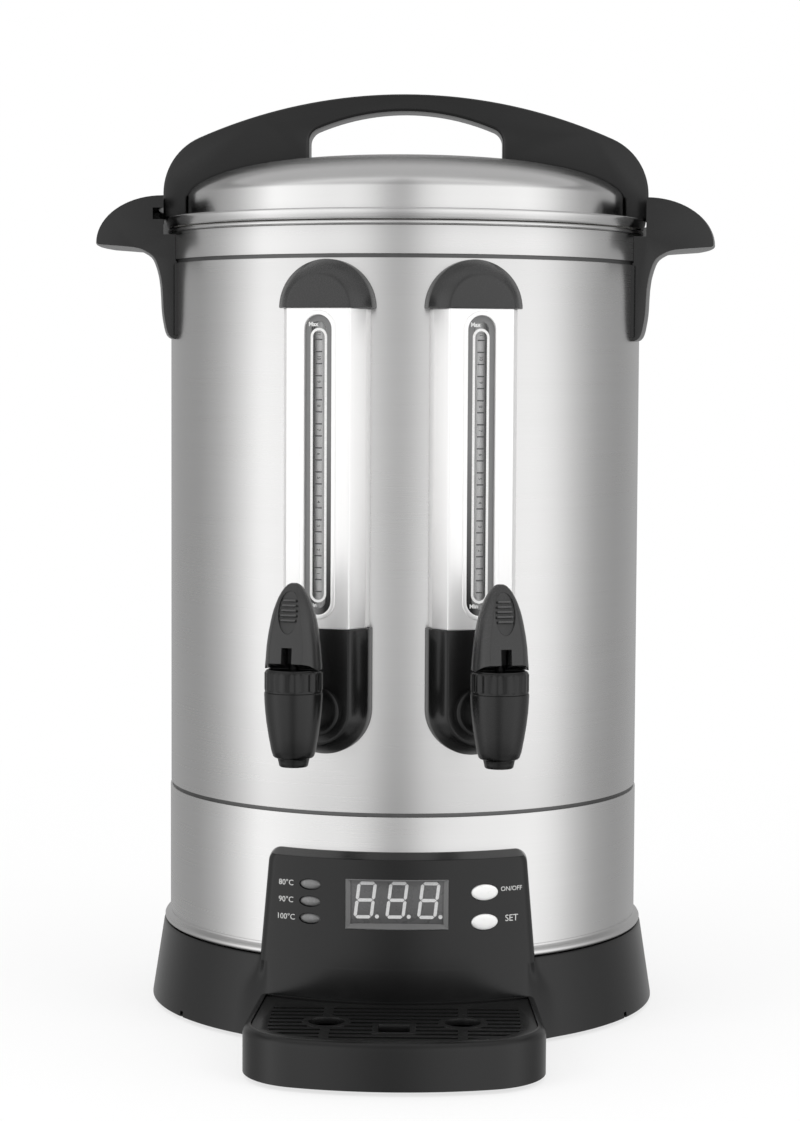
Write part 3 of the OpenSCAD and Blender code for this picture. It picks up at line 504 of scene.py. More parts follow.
def archLine(half, top, big, corner, cornerSteps, arcSteps):
    # a big arc over two round corners
    centreZ = top - big
    cornerX = half - corner
    turn = math.degrees(math.asin(cornerX / (big - corner)))
    cornerZ = centreZ + (big - corner) * math.cos(math.radians(turn))
    line = arc((cornerX, cornerZ), corner, 0, 90 - turn, cornerSteps)
    line += arc((0, centreZ), big, 90 - turn, 90 + turn, arcSteps)[1:]
    return line + arc((-cornerX, cornerZ), corner, 90 + turn, 180, cornerSteps)[1:]


def makeLidHandle():
    a = arch
    outer = archLine(a["half"], a["top"], a["bigRadius"], a["cornerRadius"], 14, 40)
    inner = archLine(a["gripHalf"], a["gripTop"], a["gripRadius"], a["gripCorner"], 8, 24)
    sink = a["sink"]
    halfWidth = a["width"] / 2
    feet = [a["gripHalf"] + (a["footEnd"] - a["gripHalf"]) * i / 12 for i in range(13)]
    feet += [121, 123.4]
    foot = [(x, domeHeight(min(math.hypot(x, halfWidth), 124.9)) - sink) for x in feet]
    foot += [(lid["wallRadius"] - sink, lid["wallTop"]),
             (lid["wallRadius"] - sink, lid["flange"] - 0.2), (a["half"], lid["flange"] - 0.2)]
    leftFoot = [(-x, z) for x, z in foot]
    outline = outer + leftFoot[::-1] + inner[::-1] + foot
    handle = slab("lidHandle", onFront(outline, halfWidth), (0, -a["width"], 0))
    roundEdges(handle, a["edge"], 4, 50)
    lugs = []
    for way in sides.values():
        near, far = sorted((way * a["lugInner"], way * a["lugOuter"]))
        low, high = (near, -a["lugHalf"], lid["flange"] + 0.05), (far, a["lugHalf"], a["lugTop"])
        lugs.append(roundEdges(block("lug", low, high), 0.6, 2))
    cut(handle, *lugs, operation="UNION")
    finish(handle, handleMoulding, "lid", "black_plastic", "lid_handle")


makeLidHandle()
print("lid handle made")


# side handles: a hooked section swept in a shallow bow

sideHandle = {
    "bow": 60, "reach": 177.4, "top": 462.4, "topX": 140.6, "half": 42, "tipZ": 436, "edge": 1.5,
    "sweep": 30, "steps": 160, "slotLow": 449, "slotHigh": 455.5, "slotStop": 14,
    "leg": [(165, 434), (160, 433.6), (156.5, 433.2), (153.6, 432.6), (151.9, 432.0),
            (150.3, 431.2), (148, 429.9), (146, 428.3), (144.9, 426.8), (144.1, 425.2),
            (143.1, 422.4), (142.3, 419.6), (141.6, 416.6), (140.9, 411.1), (140.55, 405.3),
            (140.3, 399.6), (140.05, 396.6), (139.7, 393.8), (139.2, 390.9), (138.65, 388),
            (138.0, 385.6), (137.2, 383.9), (136.0, 382.6), (134.2, 381.75), (126, 381.5)]}


def handleSection():
    # the hook from its top over the tip and down the leg
    topX, tipZ = sideHandle["topX"], sideHandle["tipZ"]
    reach, top = sideHandle["reach"] - topX, sideHandle["top"] - tipZ
    section = [(126, sideHandle["top"])]
    for i in range(19):
        a = pi / 2 * (1 - i / 18)
        section.append((topX + reach * math.cos(a), tipZ + top * math.sin(a)))
    section += [(sideHandle["reach"] - 0.35, 435.3), (sideHandle["reach"] - 1.3, 434.8)]
    return section + sideHandle["leg"]


def makeSideHandles():
    s = sideHandle
    sweep = math.radians(s["sweep"])
    start = -sweep / 2
    bow = s["bow"]
    line = [(-bow + (x + bow) * math.cos(start), (x + bow) * math.sin(start), z)
            for x, z in handleSection()]
    handle = traceLine("sideHandleRight", line + line[:1])
    bpy.ops.mesh.spin(steps=30, angle=-sweep, center=(-bow * mm, 0, 0), axis=(0, 0, 1))
    for way in (-1, 1):
        bpy.ops.mesh.select_all(action="SELECT")
        bpy.ops.mesh.bisect(plane_co=(0, way * s["half"] * mm, 0), plane_no=(0, way, 0),
                            use_fill=True, clear_outer=True)
    tidyMesh(handle, 0.02)
    roundEdges(handle, s["edge"], 3, 40)
    flange = turned("flange", [(134, 384), (136.6, 384), (136.8, 384.2), (136.8, 423.6),
                               (136.6, 424), (134, 424)],
                    s["steps"], wall=True)
    half = s["half"] + 3
    cut(flange, block("keep", (110, -half, 370), (150, half, 440)), operation="INTERSECT")
    cut(handle, flange, operation="UNION")
    # the back follows the shell, the collar and the lid's rim
    back = [(0, 370), (135.02, 370), (135.02, 425.6), (135.6, 425.6), (135.6, 440.5),
            (142.2, 440.5), (142.2, 480), (0, 480)]
    cut(handle, turned("back", back, s["steps"]))
    mirrored = copied(handle, "sideHandleLeft", mirror=True)
    # the lid's lugs turn into a slot that is open at one end
    slotTool = turned("slot", [(130, s["slotLow"]), (148, s["slotLow"]), (148, s["slotHigh"]),
                               (130, s["slotHigh"])], s["steps"], wall=True)
    leftTool = copied(slotTool, "slotLeft")
    cut(slotTool, block("keep", (100, -s["slotStop"], 440), (160, 60, 460)), operation="INTERSECT")
    cut(leftTool, block("keep", (-160, -60, 440), (-100, s["slotStop"], 460)),
        operation="INTERSECT")
    cut(handle, slotTool)
    cut(mirrored, leftTool)
    dropSlivers(handle)
    dropSlivers(mirrored)
    finish(handle, handleMoulding, "urn", "black_plastic", "side_handle_right")
    finish(mirrored, handleMoulding, "urn", "black_plastic", "side_handle_left")


makeSideHandles()
print("side handles made")


# gauges: a black cap, a bright cover with a raised slot, a printed outline and scale, a housing
# below; all are drawn facing the front and turned to their places

gauge = {"low": 227.6, "high": 397.5, "half": 23.2, "frontHalf": 17.8, "sideReach": 141,
         "front": 152, "slotHalf": 7.6, "slotLow": 235, "slotHigh": 393.9, "sheet": 1.5,
         "capRadius": 26.1, "housingRadius": 24.7, "bezel": 2.4, "printHalf": 4.6,
         "printLow": 241.6, "printHigh": 386.9, "printWidth": 1.35, "marks": 22, "pitch": 6.35,
         "firstMark": 5.8, "markHalf": (1.9, 0.35), "digitSize": 2.6, "wordSize": 3.1,
         "wordX": -3.1}


def placeOnBothSides(piece, name, material, body, slotName, node):
    # the piece is modelled facing the front; its copies turn to the left and right gauge
    for side, way in sides.items():
        twin = copied(piece, name + side.capitalize(), turn=way * gaugeAngle)
        finish(twin, material, body, slotName, *([node + "_" + side] if node else []))
    bpy.data.objects.remove(piece)


def frontPoints(half, sideReach, frontHalf, front, back):
    # a cover's section from above: a flat front between two slanted sides
    return [(-half, -back), (-half, -sideReach), (-frontHalf, -front),
            (frontHalf, -front), (half, -sideReach), (half, -back)]


def stadiumTool(half, low, high, back, front):
    return slab("tool", onFront(stadium(half, low, high), -back), (0, -(front - back), 0))


def flatRing(name, half, low, high, rim, y, thickness):
    # a long ring: its face is inset, opened and pushed forward
    ring = traceLine(name, onFront(stadium(half, low, high, 20), y))
    bpy.ops.mesh.edge_face_add()
    bpy.ops.mesh.inset(thickness=rim * mm)
    bpy.ops.mesh.delete(type="FACE")
    bpy.ops.mesh.select_all(action="SELECT")
    push = Vector((0, -thickness, 0)) * mm
    bpy.ops.mesh.extrude_region_move(TRANSFORM_OT_translate={"value": push})
    return tidyMesh(ring, 0.001)


def makeGaugeCovers():
    g = gauge
    t = g["sheet"]
    outline = frontPoints(g["half"], g["sideReach"], g["frontHalf"], g["front"], 132.6)
    hollow = frontPoints(g["half"] - t, g["sideReach"] - 0.5, g["frontHalf"] - 0.9, g["front"] - t,
                         132.9)
    line = [(x, y, g["low"]) for x, y in outline + hollow[::-1]]
    cover = slab("gaugeCover", line, (0, 0, g["high"] - g["low"]))
    roundEdges(cover, 0.7, 3, 20)
    cut(cover, stadiumTool(g["slotHalf"], g["slotLow"], g["slotHigh"], 146, 156))
    w = g["bezel"]
    bezel = flatRing("bezel", g["slotHalf"] + w, g["slotLow"] - w, g["slotHigh"] + w, w + 0.05,
                     -151.6, 1.0)
    roundEdges(bezel, 0.55, 4, 40)
    join(cover, bezel)
    dropSlivers(cover)
    placeOnBothSides(cover, "gaugeCover", coverSteel, "urn", "cover_steel", "gauge_cover")


def roundedEnd(name, radius, frontRadius, z, upper):
    # half of a turned cap about a line that points to the front
    g = gauge
    slope = math.atan2(radius - frontRadius, g["front"] - g["sideReach"])
    line = [(radius, 132), (radius, g["sideReach"] - 1.2), (radius - 0.25, g["sideReach"] + 0.3)]
    line += [(frontRadius + 0.7 * math.sin(slope) + 0.35, g["front"] - 0.9),
             (frontRadius - 0.4, g["front"] - 0.2), (frontRadius - 1.4, g["front"]),
             (0, g["front"])]
    way = 1 if upper else -1
    piece = traceLine(name, [(r, -y, z) for r, y in [(0, 132)] + line])
    bpy.ops.mesh.spin(steps=48, angle=-way * pi, center=(0, 0, z * mm), axis=(0, -1, 0))
    bpy.ops.mesh.select_all(action="SELECT")
    bpy.ops.mesh.remove_doubles(threshold=0.004 * mm)
    return piece


def fillOpenEdge(push):
    # closes the open side of a half turned piece, and draws it out where asked
    bpy.ops.mesh.select_all(action="DESELECT")
    bpy.ops.mesh.select_mode(type="EDGE")
    bpy.ops.mesh.select_non_manifold(extend=False, use_wire=False, use_multi_face=False,
                                     use_non_contiguous=False, use_verts=False)
    bpy.ops.mesh.edge_face_add()
    if push:
        bpy.ops.mesh.extrude_region_move(TRANSFORM_OT_translate={"value": (0, 0, push * mm)})
    bpy.ops.mesh.select_mode(type="VERT")


def makeGaugeCaps():
    g = gauge
    cap = roundedEnd("gaugeCap", g["capRadius"], g["frontHalf"] + 0.4, g["high"], True)
    fillOpenEdge(0)
    tidyMesh(cap)
    roundEdges(cap, 0.5, 2, 60)
    placeOnBothSides(cap, "gaugeCap", leverMoulding, "urn", "black_plastic", "gauge_cap")


tap = {"reach": 188, "bonnet": 198, "bonnetTop": 209.4, "shank": 184, "radius": 15.4, "bore": 9.5,
       "waves": 16, "waveDepth": 0.022, "hubRise": 0.42}


def towardsFront(z):
    # lays a turned piece down at a height, so that it points to the front
    return Matrix.Translation((0, 0, z * mm)) @ Matrix.Rotation(pi / 2, 4, "X")


def makeTapHousings():
    g = gauge
    body = roundedEnd("tapHousing", g["housingRadius"], g["frontHalf"] + 0.4, tap["shank"], False)
    fillOpenEdge(g["low"] - tap["shank"])
    tidyMesh(body)
    roundEdges(body, 0.5, 2, 60)
    boss = turned("boss", [(0, 150), (13.4, 150), (13.4, 153.2), (13.0, 154.3), (12.0, 154.8),
                           (10.6, 154.9), (0, 154.9)], 48)
    boss.data.transform(towardsFront(tap["shank"]))
    cut(body, boss, operation="UNION")
    dropSlivers(body)
    placeOnBothSides(body, "tapHousing", handleMoulding, "urn", "black_plastic", "tap_housing")


def backingMaterial():
    # painted reflection of the black tap housing below: dark at its lower end, lighter towards its
    # top
    sheet = Sheet("backing strip")
    paintedReflection = sheet.remap(sheet.axis(sheet.spot(), 2), 0, 1, 0.24, 0.39)
    cloud = sheet.noise(200, 2)
    return sheet.shade(colour=sheet.blend(paintedReflection, grey(0.012), grey(0.075)),
                       rough=sheet.remap(cloud, 0.4, 0.5))


def bandMaterial():
    # the band behind the tube: grey, with painted shade that makes it dark low down on the side
    # towards the middle of the urn
    sheet = Sheet("gauge band")
    spot = sheet.spot()
    side = sheet.axis(spot, 0).maths("ABSOLUTE", 0)
    inner = sheet.remap(side, 1, 0, 0.039, 0.045)
    low = sheet.remap(sheet.axis(spot, 2), 1, 0, 0.236, 0.33)
    # the mask from the side and the height is painted shade
    return sheet.shade(colour=sheet.blend(inner * low, grey(0.19), grey(0.006)),
                       rough=0.45, specular=0.3)


backingStrip = backingMaterial()
bandGrey = bandMaterial()


def textMesh(name, words, size, weight=0.0, thickness=0.1, slant=0.0):
    # words lying in the front plane, centred on the origin, as a mesh
    bpy.ops.object.select_all(action="DESELECT")
    bpy.ops.object.text_add()
    label = bpy.context.active_object
    label.name = name
    label.data.body = words
    label.data.size = size * mm
    label.data.align_x = "CENTER"
    label.data.align_y = "CENTER"
    label.data.offset = weight * mm
    label.data.extrude = thickness / 2 * mm
    label.data.shear = slant
    label.data.resolution_u = 3
    bpy.ops.object.convert(target="MESH")
    label = bpy.context.active_object
    label.data.transform(Matrix.Rotation(pi / 2, 4, "X"))
    return tidyMesh(label, 0.0005)


def makeGaugePrint():
    g = gauge
    front = -(g["front"] - g["sheet"])
    # the band reaches under the cover all round its slot
    over = 0.8
    band = flatRing("gaugeBand", g["slotHalf"] + over, g["slotLow"] - over, g["slotHigh"] + over,
                    g["slotHalf"] + over - g["printHalf"] + 0.4, front - 0.02, 0.08)
    placeOnBothSides(band, "gaugeBand", bandGrey, "urn", "backing_strip", None)
    outline = flatRing("gaugeOutline", g["printHalf"], g["printLow"], g["printHigh"],
                       g["printWidth"], front - 0.06, 0.12)
    words = []
    for text, z in (("Max", g["printHigh"] + 1.9), ("Min", g["printLow"] - 1.6)):
        word = textMesh("word", text, g["wordSize"], 0.09, 0.12)
        word.data.transform(Matrix.Translation(Vector((g["wordX"], front - 0.12, z)) * mm))
        words.append(word)
    join(outline, *words)
    placeOnBothSides(outline, "gaugeOutline", gaugeWhite, "urn", "backing_strip", None)
    marks = []
    halfX, halfZ = g["markHalf"]
    for i in range(g["marks"]):
        z = g["printLow"] + g["firstMark"] + i * g["pitch"]
        low, high = (-halfX, front - 0.1, z - halfZ), (halfX, front - 0.02, z + halfZ)
        marks.append(block("mark", low, high))
        if i % 2:
            digit = textMesh("digit", str(i // 2 + 1), g["digitSize"], 0.02, 0.08)
            spot = Vector((0, front - 0.06, z + g["pitch"] / 2)) * mm
            digit.data.transform(Matrix.Translation(spot) @ Matrix.Rotation(pi / 2, 4, "Y"))
            marks.append(digit)
    join(*marks)
    marks[0].name = "gaugeMarks"
    placeOnBothSides(marks[0], "gaugeMarks", printGrey, "urn", "backing_strip", None)


makeGaugeCovers()
makeGaugeCaps()
makeTapHousings()
makeGaugePrint()
print("gauges made")


# taps: a stepped nozzle on a round neck, a ribbed bonnet and a pointed lever with a thumb hollow

def makeTapBodies():
    t = tap
    centre = (0, -t["reach"])
    top, bore = t["radius"], t["bore"]
    body = turned("tapBody", [
        (5.5, 159.2), (6, 159), (7, 159), (7.5, 159.5), (7.9, 161.2), (8.3, 163), (8.7, 163.5),
        (10, 163.9), (10.7, 164.6), (11.7, 167.6), (13.1, 175), (14.2, 182), (14.9, 188),
        (15.25, 193), (top, 196.9), (top - 0.06, 197.7), (top - 0.25, 197.95), (bore, 197.95),
        (bore, 172), (5.5, 172)],
        96, centre, wall=True)
    neck = turned("neck", [(0, 150.5), (9.5, 150.5), (9.5, 176), (0, 176)], 64)
    neck.data.transform(towardsFront(t["shank"]))
    cut(body, neck, operation="UNION")
    placeOnBothSides(body, "tapBody", tapMoulding, "urn", "black_plastic", "tap_body")


def makeTapBonnets():
    t = tap
    low, high = t["bonnet"], t["bonnetTop"]
    hub = high + t["hubRise"]
    bonnet = turned("tapBonnet", [
        (8, low), (14.9, low), (15.1, low + 0.2), (15.1, low + 1.0), (14.95, low + 1.5),
        (14.95, high - 1.3), (14.9, high - 0.8), (14.7, high - 0.3), (14.3, high), (13.5, high),
        (13.4, hub), (2.3, hub), (2.3, 206), (8, 206)],
        t["waves"] * 12, (0, -t["reach"]), wall=True)
    # the grip is a ring of soft waves
    gripRadius, gripLow, gripHigh = 14.92, low + 1.2, high - 1.0
    for vertex in bonnet.data.vertices:
        x, y, z = vertex.co.x / mm, vertex.co.y / mm + t["reach"], vertex.co.z / mm
        if math.hypot(x, y) > gripRadius and gripLow < z < gripHigh:
            grown = 1 + t["waveDepth"] * math.cos(t["waves"] * math.atan2(y, x))
            vertex.co.x = x * grown * mm
            vertex.co.y = (y * grown - t["reach"]) * mm
    placeOnBothSides(bonnet, "tapBonnet", tapMoulding, "urn", "black_plastic", "tap_bonnet")


lever = {"front": [(12.0, 214), (9.7, 236), (6.9, 247.5), (2.2, 254.7)],
         "back": [(-13.5, 226), (-4.6, 256)], "hollowZ": 240.2, "hollowHalf": (5.5, 11.6),
         "hollowDepth": 1.5, "ridges": 5, "ridgePitch": 2.6, "ridgeLow": 235.9, "below": 205,
         "slotWidth": 5.7, "slotTop": 221.8, "cavityTop": 231, "gapFront": 213.6,
         "gapCurve": [(-14.5, 204), (-14.5, 209.9), (-13.6, 211.1), (-12, 212.6), (-9.5, 214.2),
                      (-6, 215.6)]}


def cutFlat(piece, low, high, y0):
    # slices a piece along a line of its side view and closes it
    along = Vector((0, low[0] - high[0], high[1] - low[1]))
    normal = along.cross(Vector((1, 0, 0))).normalized()
    if normal.y * low[0] > 0:
        normal.negate()
    editAll(piece)
    bpy.ops.mesh.bisect(plane_co=Vector((0, y0 - low[0], low[1])) * mm, plane_no=normal,
                        use_fill=True, clear_outer=True)
    tidyMesh(piece, 0.002)


def makeTapLevers():
    shape = lever
    y0 = -tap["reach"]
    foot = tap["bonnetTop"] + 0.5
    piece = turned("tapLever", [
        (0, foot), (14.6, foot), (15.0, foot + 0.3), (15.0, 212), (14.65, 216), (14.2, 222),
        (13.75, 225.4), (13.3, 228.5), (12.7, 231.6), (12.1, 234.7), (11.35, 238), (10.5, 241),
        (9.4, 244.1), (8.1, 247.2), (6.5, 250.1), (4.9, 252.3), (3.2, 253.9), (1.6, 254.65),
        (0, 254.8)], 96, (0, y0))
    for low, high in zip(shape["front"], shape["front"][1:]):
        cutFlat(piece, low, high, y0)
    cutFlat(piece, *shape["back"], y0)
    roundEdges(piece, 0.6, 3, 16)
    # thumb hollow with raised ridges, laid on the middle facet
    (nearLow, lowZ), (nearHigh, highZ) = shape["front"][1:3]
    lean = math.atan2(nearLow - nearHigh, highZ - lowZ)
    midY = y0 - (nearLow + (nearHigh - nearLow) * (shape["hollowZ"] - lowZ) / (highZ - lowZ))
    middle = Vector((0, midY, shape["hollowZ"])) * mm
    facet = Matrix.Translation(middle) @ Matrix.Rotation(-lean, 4, "X")
    halfX, halfZ = shape["hollowHalf"]
    turns = [2 * pi * i / 40 for i in range(40)]
    oval = [(halfX * math.cos(turn), halfZ * math.sin(turn)) for turn in turns]
    hollow = roundEdges(slab("hollow", onFront(oval, shape["hollowDepth"]), (0, -8, 0)), 0.7, 3, 60)
    hollow.data.transform(facet)
    cut(piece, hollow)
    ridges = []
    for i in range(shape["ridges"]):
        z = shape["ridgeLow"] + i * shape["ridgePitch"] - shape["hollowZ"]
        half = 4.4 - 0.3 * abs(i - 1)
        low, high = (-half, -0.1, z - 0.62), (half, shape["hollowDepth"] + 0.6, z + 0.62)
        ridge = roundEdges(block("ridge", low, high), 0.55, 4)
        ridge.data.transform(facet)
        ridges.append(ridge)
    join(*ridges)
    # a slot for the stem, a cavity for its head and an arched gap that lets the lever tilt
    half, below, front = shape["slotWidth"] / 2, shape["below"], shape["gapFront"]
    cut(piece, block("slot", (-half, y0 - 20, below), (half, y0 + 8, shape["slotTop"])),
        block("cavity", (-half, y0 - 8, below), (half, y0 + 6, shape["cavityTop"])))
    gap = [(y0 - 18, below), (y0, below), (y0, foot + 0.1), (y0 - 12, front),
           (y0 - 18, front + 1.9)]
    curve = shape["gapCurve"] + [(-x, z) for x, z in shape["gapCurve"][::-1]]
    opening = slab("opening", onFront(curve, y0 - 20), (0, 24, 0))
    wedge = slab("gap", [(-20, y, z) for y, z in gap], (40, 0, 0))
    cut(piece, cut(wedge, opening, operation="INTERSECT"))
    dropSlivers(piece)
    for side, way in sides.items():
        twin = copied(piece, "tapLever" + side.capitalize(), turn=way * gaugeAngle)
        finish(twin, leverMoulding, "lever_" + side, "black_plastic", "tap_lever_" + side)
        # the ridges take the lighter moulding: painted highlight
        ribs = copied(ridges[0], "leverRidges" + side.capitalize(), turn=way * gaugeAngle)
        finish(ribs, ridgeHighlightMoulding, "lever_" + side, "black_plastic")
    bpy.data.objects.remove(piece)
    bpy.data.objects.remove(ridges[0])


spring = {"radius": 5.6, "wire": 0.7, "low": 187.8, "high": 205.7, "turns": 6, "keep": 0.72}


def makeSprings():
    # the coil rides on the stem; the real one shortens as the stem lifts, this one keeps its length
    s = spring
    pitch = (s["high"] - s["low"] - 2 * s["wire"]) / s["turns"]
    ring = arc((s["radius"], s["low"] + s["wire"]), s["wire"], 0, 315, 7)
    coil = traceLine("tapSpring", [(x, 0, z) for x, z in ring + ring[:1]])
    bpy.ops.mesh.remove_doubles(threshold=0.004 * mm)
    modify(coil, "SCREW", angle=2 * pi, screw_offset=pitch * mm, iterations=s["turns"],
           steps=28, render_steps=28)
    editAll(coil)
    bpy.ops.mesh.fill_holes(sides=0)
    tidyMesh(coil)
    for side, way in sides.items():
        turn = way * gaugeAngle
        twin = copied(coil, "tapSpring" + side.capitalize(), turn=turn, move=(0, -tap["reach"], 0))
        finish(twin, stemSteel, "stem_" + side, "stem_steel", "tap_spring_" + side)
        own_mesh(twin)
    bpy.data.objects.remove(coil)


makeTapBodies()
makeTapBonnets()
makeTapLevers()
makeSprings()
print("taps made")


# base housing: the skirt swells into the console, which leans back a little as it rises

housing = {"ledge": 46.2, "skirtTop": 138.9, "skirtFoot": 145.6, "skirtLow": 3.2, "faceFoot": 147.5,
           "faceLow": 27.3, "faceEdge": 103.7, "top": 106.4, "topHalf": 69.4, "footHalf": 74.6,
           "edge": 4.2, "cornerRadius": 6.5, "lipHeight": 0.22, "lipDepth": 0.25,
           "slopeDepth": 10.4, "root": 134.0, "notches": (-57, 61), "keyAngle": math.radians(18.7),
           "buttonZ": (85.7, 69.7), "lensZ": (89.2, 80.0, 70.7), "window": (27.8, 66.2, 93.4),
           "button": (7.4, 4.25), "buttonWell": 139.8, "buttonReach": (141.3, 147.9),
           "buttonDome": (0.75, 0.5), "lens": (5.9, 2.8), "lensWell": 143.0,
           "lensReach": (143.2, 146.9), "lensDome": (1.3, 0.3), "clear": 160}


def faceRadius(z):
    # the console's face leans back by 1.5 mm over its 79 mm
    return housing["faceFoot"] - (z - housing["faceLow"]) * 1.5 / 79


def skirtRadius(z):
    h = housing
    # the skirt draws in evenly from its foot to its top
    drawnIn = (h["skirtFoot"] - h["skirtTop"]) * (z - h["skirtLow"]) / (h["ledge"] - h["skirtLow"])
    return h["skirtFoot"] - drawnIn


def consoleHalf(z):
    h = housing
    if z < h["ledge"]:
        return h["footHalf"]
    return h["topHalf"] + (h["footHalf"] - h["topHalf"]) * (h["top"] - z) / (h["top"] - h["ledge"])


def easeStep(x):
    x = max(0.0, min(1.0, x))
    return x * x * (3 - 2 * x)


def swell(turn, z):
    # how much further out the skirt stands at an angle from the front
    high = faceRadius(z)
    if abs(turn) > pi / 2:
        return 0.0
    past = abs(high * math.sin(turn)) - consoleHalf(z)
    narrow = easeStep((z - 23) / 21)
    inner, outer = 7.0 - 2.5 * narrow, 16.0 - 10.5 * narrow
    return (high - skirtRadius(z)) * (1 - easeStep((past + inner) / (inner + outer)))


def makeSkirt():
    h = housing
    levels = [h["skirtLow"], 8, 14, 20, 26, 30, 33.5, 36.5, 39.5, 42, 44, 45.1]
    brow, top = h["skirtTop"], h["ledge"]
    profile = [(142.4, 2), (144.8, 2.0), (145.6, 2.35)] + [(skirtRadius(z), z) for z in levels]
    profile += [(brow - 0.05, top - 0.5), (brow - 0.4, top - 0.12), (brow - 1.0, top), (134.3, top),
                (134.3, 58), (131.3, 58), (131.3, top - 3), (135.8, top - 3)]
    skirt = turned("baseHousing", profile, 480, wall=True)
    for vertex in skirt.data.vertices:
        x, y, z = vertex.co / mm
        r = math.hypot(x, y)
        if r > 137.6 and not (r < 142.6 and z < 2.1):
            grown = (r + swell(math.atan2(x, -y), max(z, h["skirtLow"]))) / r
            vertex.co.x *= grown
            vertex.co.y *= grown
    for angle in h["notches"]:
        notch = block("notch", (-1.6, -150, 0), (1.6, -143.2, 5.4))
        notch.data.transform(Matrix.Rotation(math.radians(angle), 4, "Z"))
        cut(skirt, notch)
    # the mains inlet sits on a pad at the back
    cut(skirt, roundEdges(block("pad", (-20, 131, 9), (20, 139.2, 43)), 1.2), operation="UNION")
    cut(skirt, roundEdges(block("inletSeat", (-17, 138, 12), (17, 160, 40)), 1.0),
        block("inletWell", (-14, 120, 16), (14, 150, 36)))
    return skirt


def consoleSection(z):
    # the console's outline from above at one height: face, corners, sides, an arc inside the shell
    h = housing
    half = consoleHalf(z)
    radius = faceRadius(min(z, h["faceEdge"]))
    c = h["cornerRadius"]
    rise = z - (h["top"] - c)
    if rise > 0:
        half -= c - math.sqrt(max(c * c - rise * rise, 0.0))
    # above the face a small lip, then the slope of the top
    past, lip, depth = z - h["faceEdge"], h["lipHeight"], h["lipDepth"]
    if past > lip:
        share = (past - lip) / (h["top"] - h["faceEdge"] - lip)
        radius -= depth + (h["slopeDepth"] - depth) * share
    elif past > 0:
        radius -= 0.12
    edge = min(h["edge"], max((radius - 135.2) * 0.6, 0.05))
    columns = [((half - edge) * i / 24, 0.0) for i in range(25)]
    columns = [(x, math.sqrt(radius ** 2 - x * x)) for x, _ in columns]
    for i in range(1, 9):
        a = pi / 2 * i / 8
        x = half - edge + edge * math.sin(a)
        columns.append((x, math.sqrt(radius ** 2 - x * x) - edge * (1 - math.cos(a))))
    x, y = columns[-1]
    root = math.sqrt(h["root"] ** 2 - x * x)
    columns += [(x, y + (root - y) * share) for share in (0.35, 0.7, 1.0)]
    back = [x * (1 - i / 12) for i in range(1, 13)]
    back = [(x, math.sqrt(h["root"] ** 2 - x ** 2)) for x in back]
    right = columns + back
    left = [(-x, y) for x, y in right[1:-1]]
    return [(x, -y, z) for x, y in right + left[::-1]]


def makeConsole():
    h = housing
    levels = [45.2, 49, 54, 60, 66, 72, 78, 84, 90, 95, 97.7, 98.8, 99.9, 100.8, 101.6, 102.4,
              103.1, 103.7, 103.85, 103.95, 104.4, 105, 105.5, 105.9, 106.15, 106.35]
    mesh = bpy.data.meshes.new("console")
    grid = bmesh.new()
    rings = [[grid.verts.new(Vector(p) * mm) for p in consoleSection(z)] for z in levels]
    for low, high in zip(rings, rings[1:]):
        for i in range(len(low)):
            j = (i + 1) % len(low)
            grid.faces.new((low[i], low[j], high[j], high[i]))
    grid.faces.new(rings[0])
    grid.faces.new(rings[-1])
    grid.to_mesh(mesh)
    grid.free()
    console = bpy.data.objects.new("console", mesh)
    bpy.context.scene.collection.objects.link(console)
    tidyMesh(console)
    half, low, high = h["window"]
    well = block("windowWell", (-half, -h["clear"], low), (half, -136.5, high))
    cut(console, roundEdges(well, 0.8, 2))
    for kind, play, way in (("button", 0.35, 1), ("lens", 0.25, -1)):
        halfX, halfZ = h[kind]
        for z in h[kind + "Z"]:
            cut(console, ovalBar("well", halfX + play, halfZ + play, h[kind + "Well"], h["clear"],
                                 z, way * h["keyAngle"]))
    return console


def ovalBar(name, halfX, halfZ, low, high, z, turn, dome=0.0, lip=0.0):
    # an oval pin that points out of the console, with a domed end where asked
    profile = [(0, low), (1, low), (1, high - dome - lip)]
    if dome:
        profile += [(0.94, high - dome - lip * 0.3), (0.86, high - dome * 0.72),
                    (0.68, high - dome * 0.42), (0.42, high - dome * 0.15),
                    (0.2, high - dome * 0.03)]
    else:
        profile.append((1, high))
    profile.append((0, high))
    bar = turned(name, profile, 48)
    bar.data.transform(Matrix.Rotation(turn, 4, "Z") @ Matrix.Translation((0, 0, z * mm))
                       @ Matrix.Diagonal((halfX, 1, halfZ, 1)) @ Matrix.Rotation(pi / 2, 4, "X"))
    return bar


# drip tray: a bowed outline with a rounded rim, a pocket for the cover and a basin

# each back is the radius of the arc that closes a part of the tray towards the urn
tray = {"reach": 238, "half": 78.7, "corner": 38, "bow": 180, "rootHalf": 74.6, "rootY": -120,
        "low": 2.4, "rim": 27.3, "rimRound": 4.4, "back": 140.5, "pocket": 4.2, "pocketLow": 22.5,
        "pocketBack": 148.3, "basin": 7.2, "floor": 9, "basinBack": 148.9, "under": 3,
        "underBack": 148}

trayCover = {"low": 22.8, "high": 26.3, "inset": 4.5, "back": 148.7, "edge": 0.2, "rows": 9,
             "slot": 3.4, "pitch": 7.9, "front": -223, "half": 65.5, "spread": 1.8, "pinch": 1.06,
             "fieldInset": 7, "fieldBack": 154, "targetX": 35.5, "targetY": -187,
             "targetRadius": 9.5, "ringRadius": 13, "divider": 2.5, "web": 3, "holeHalf": (8.25, 8),
             "holeY": -201}


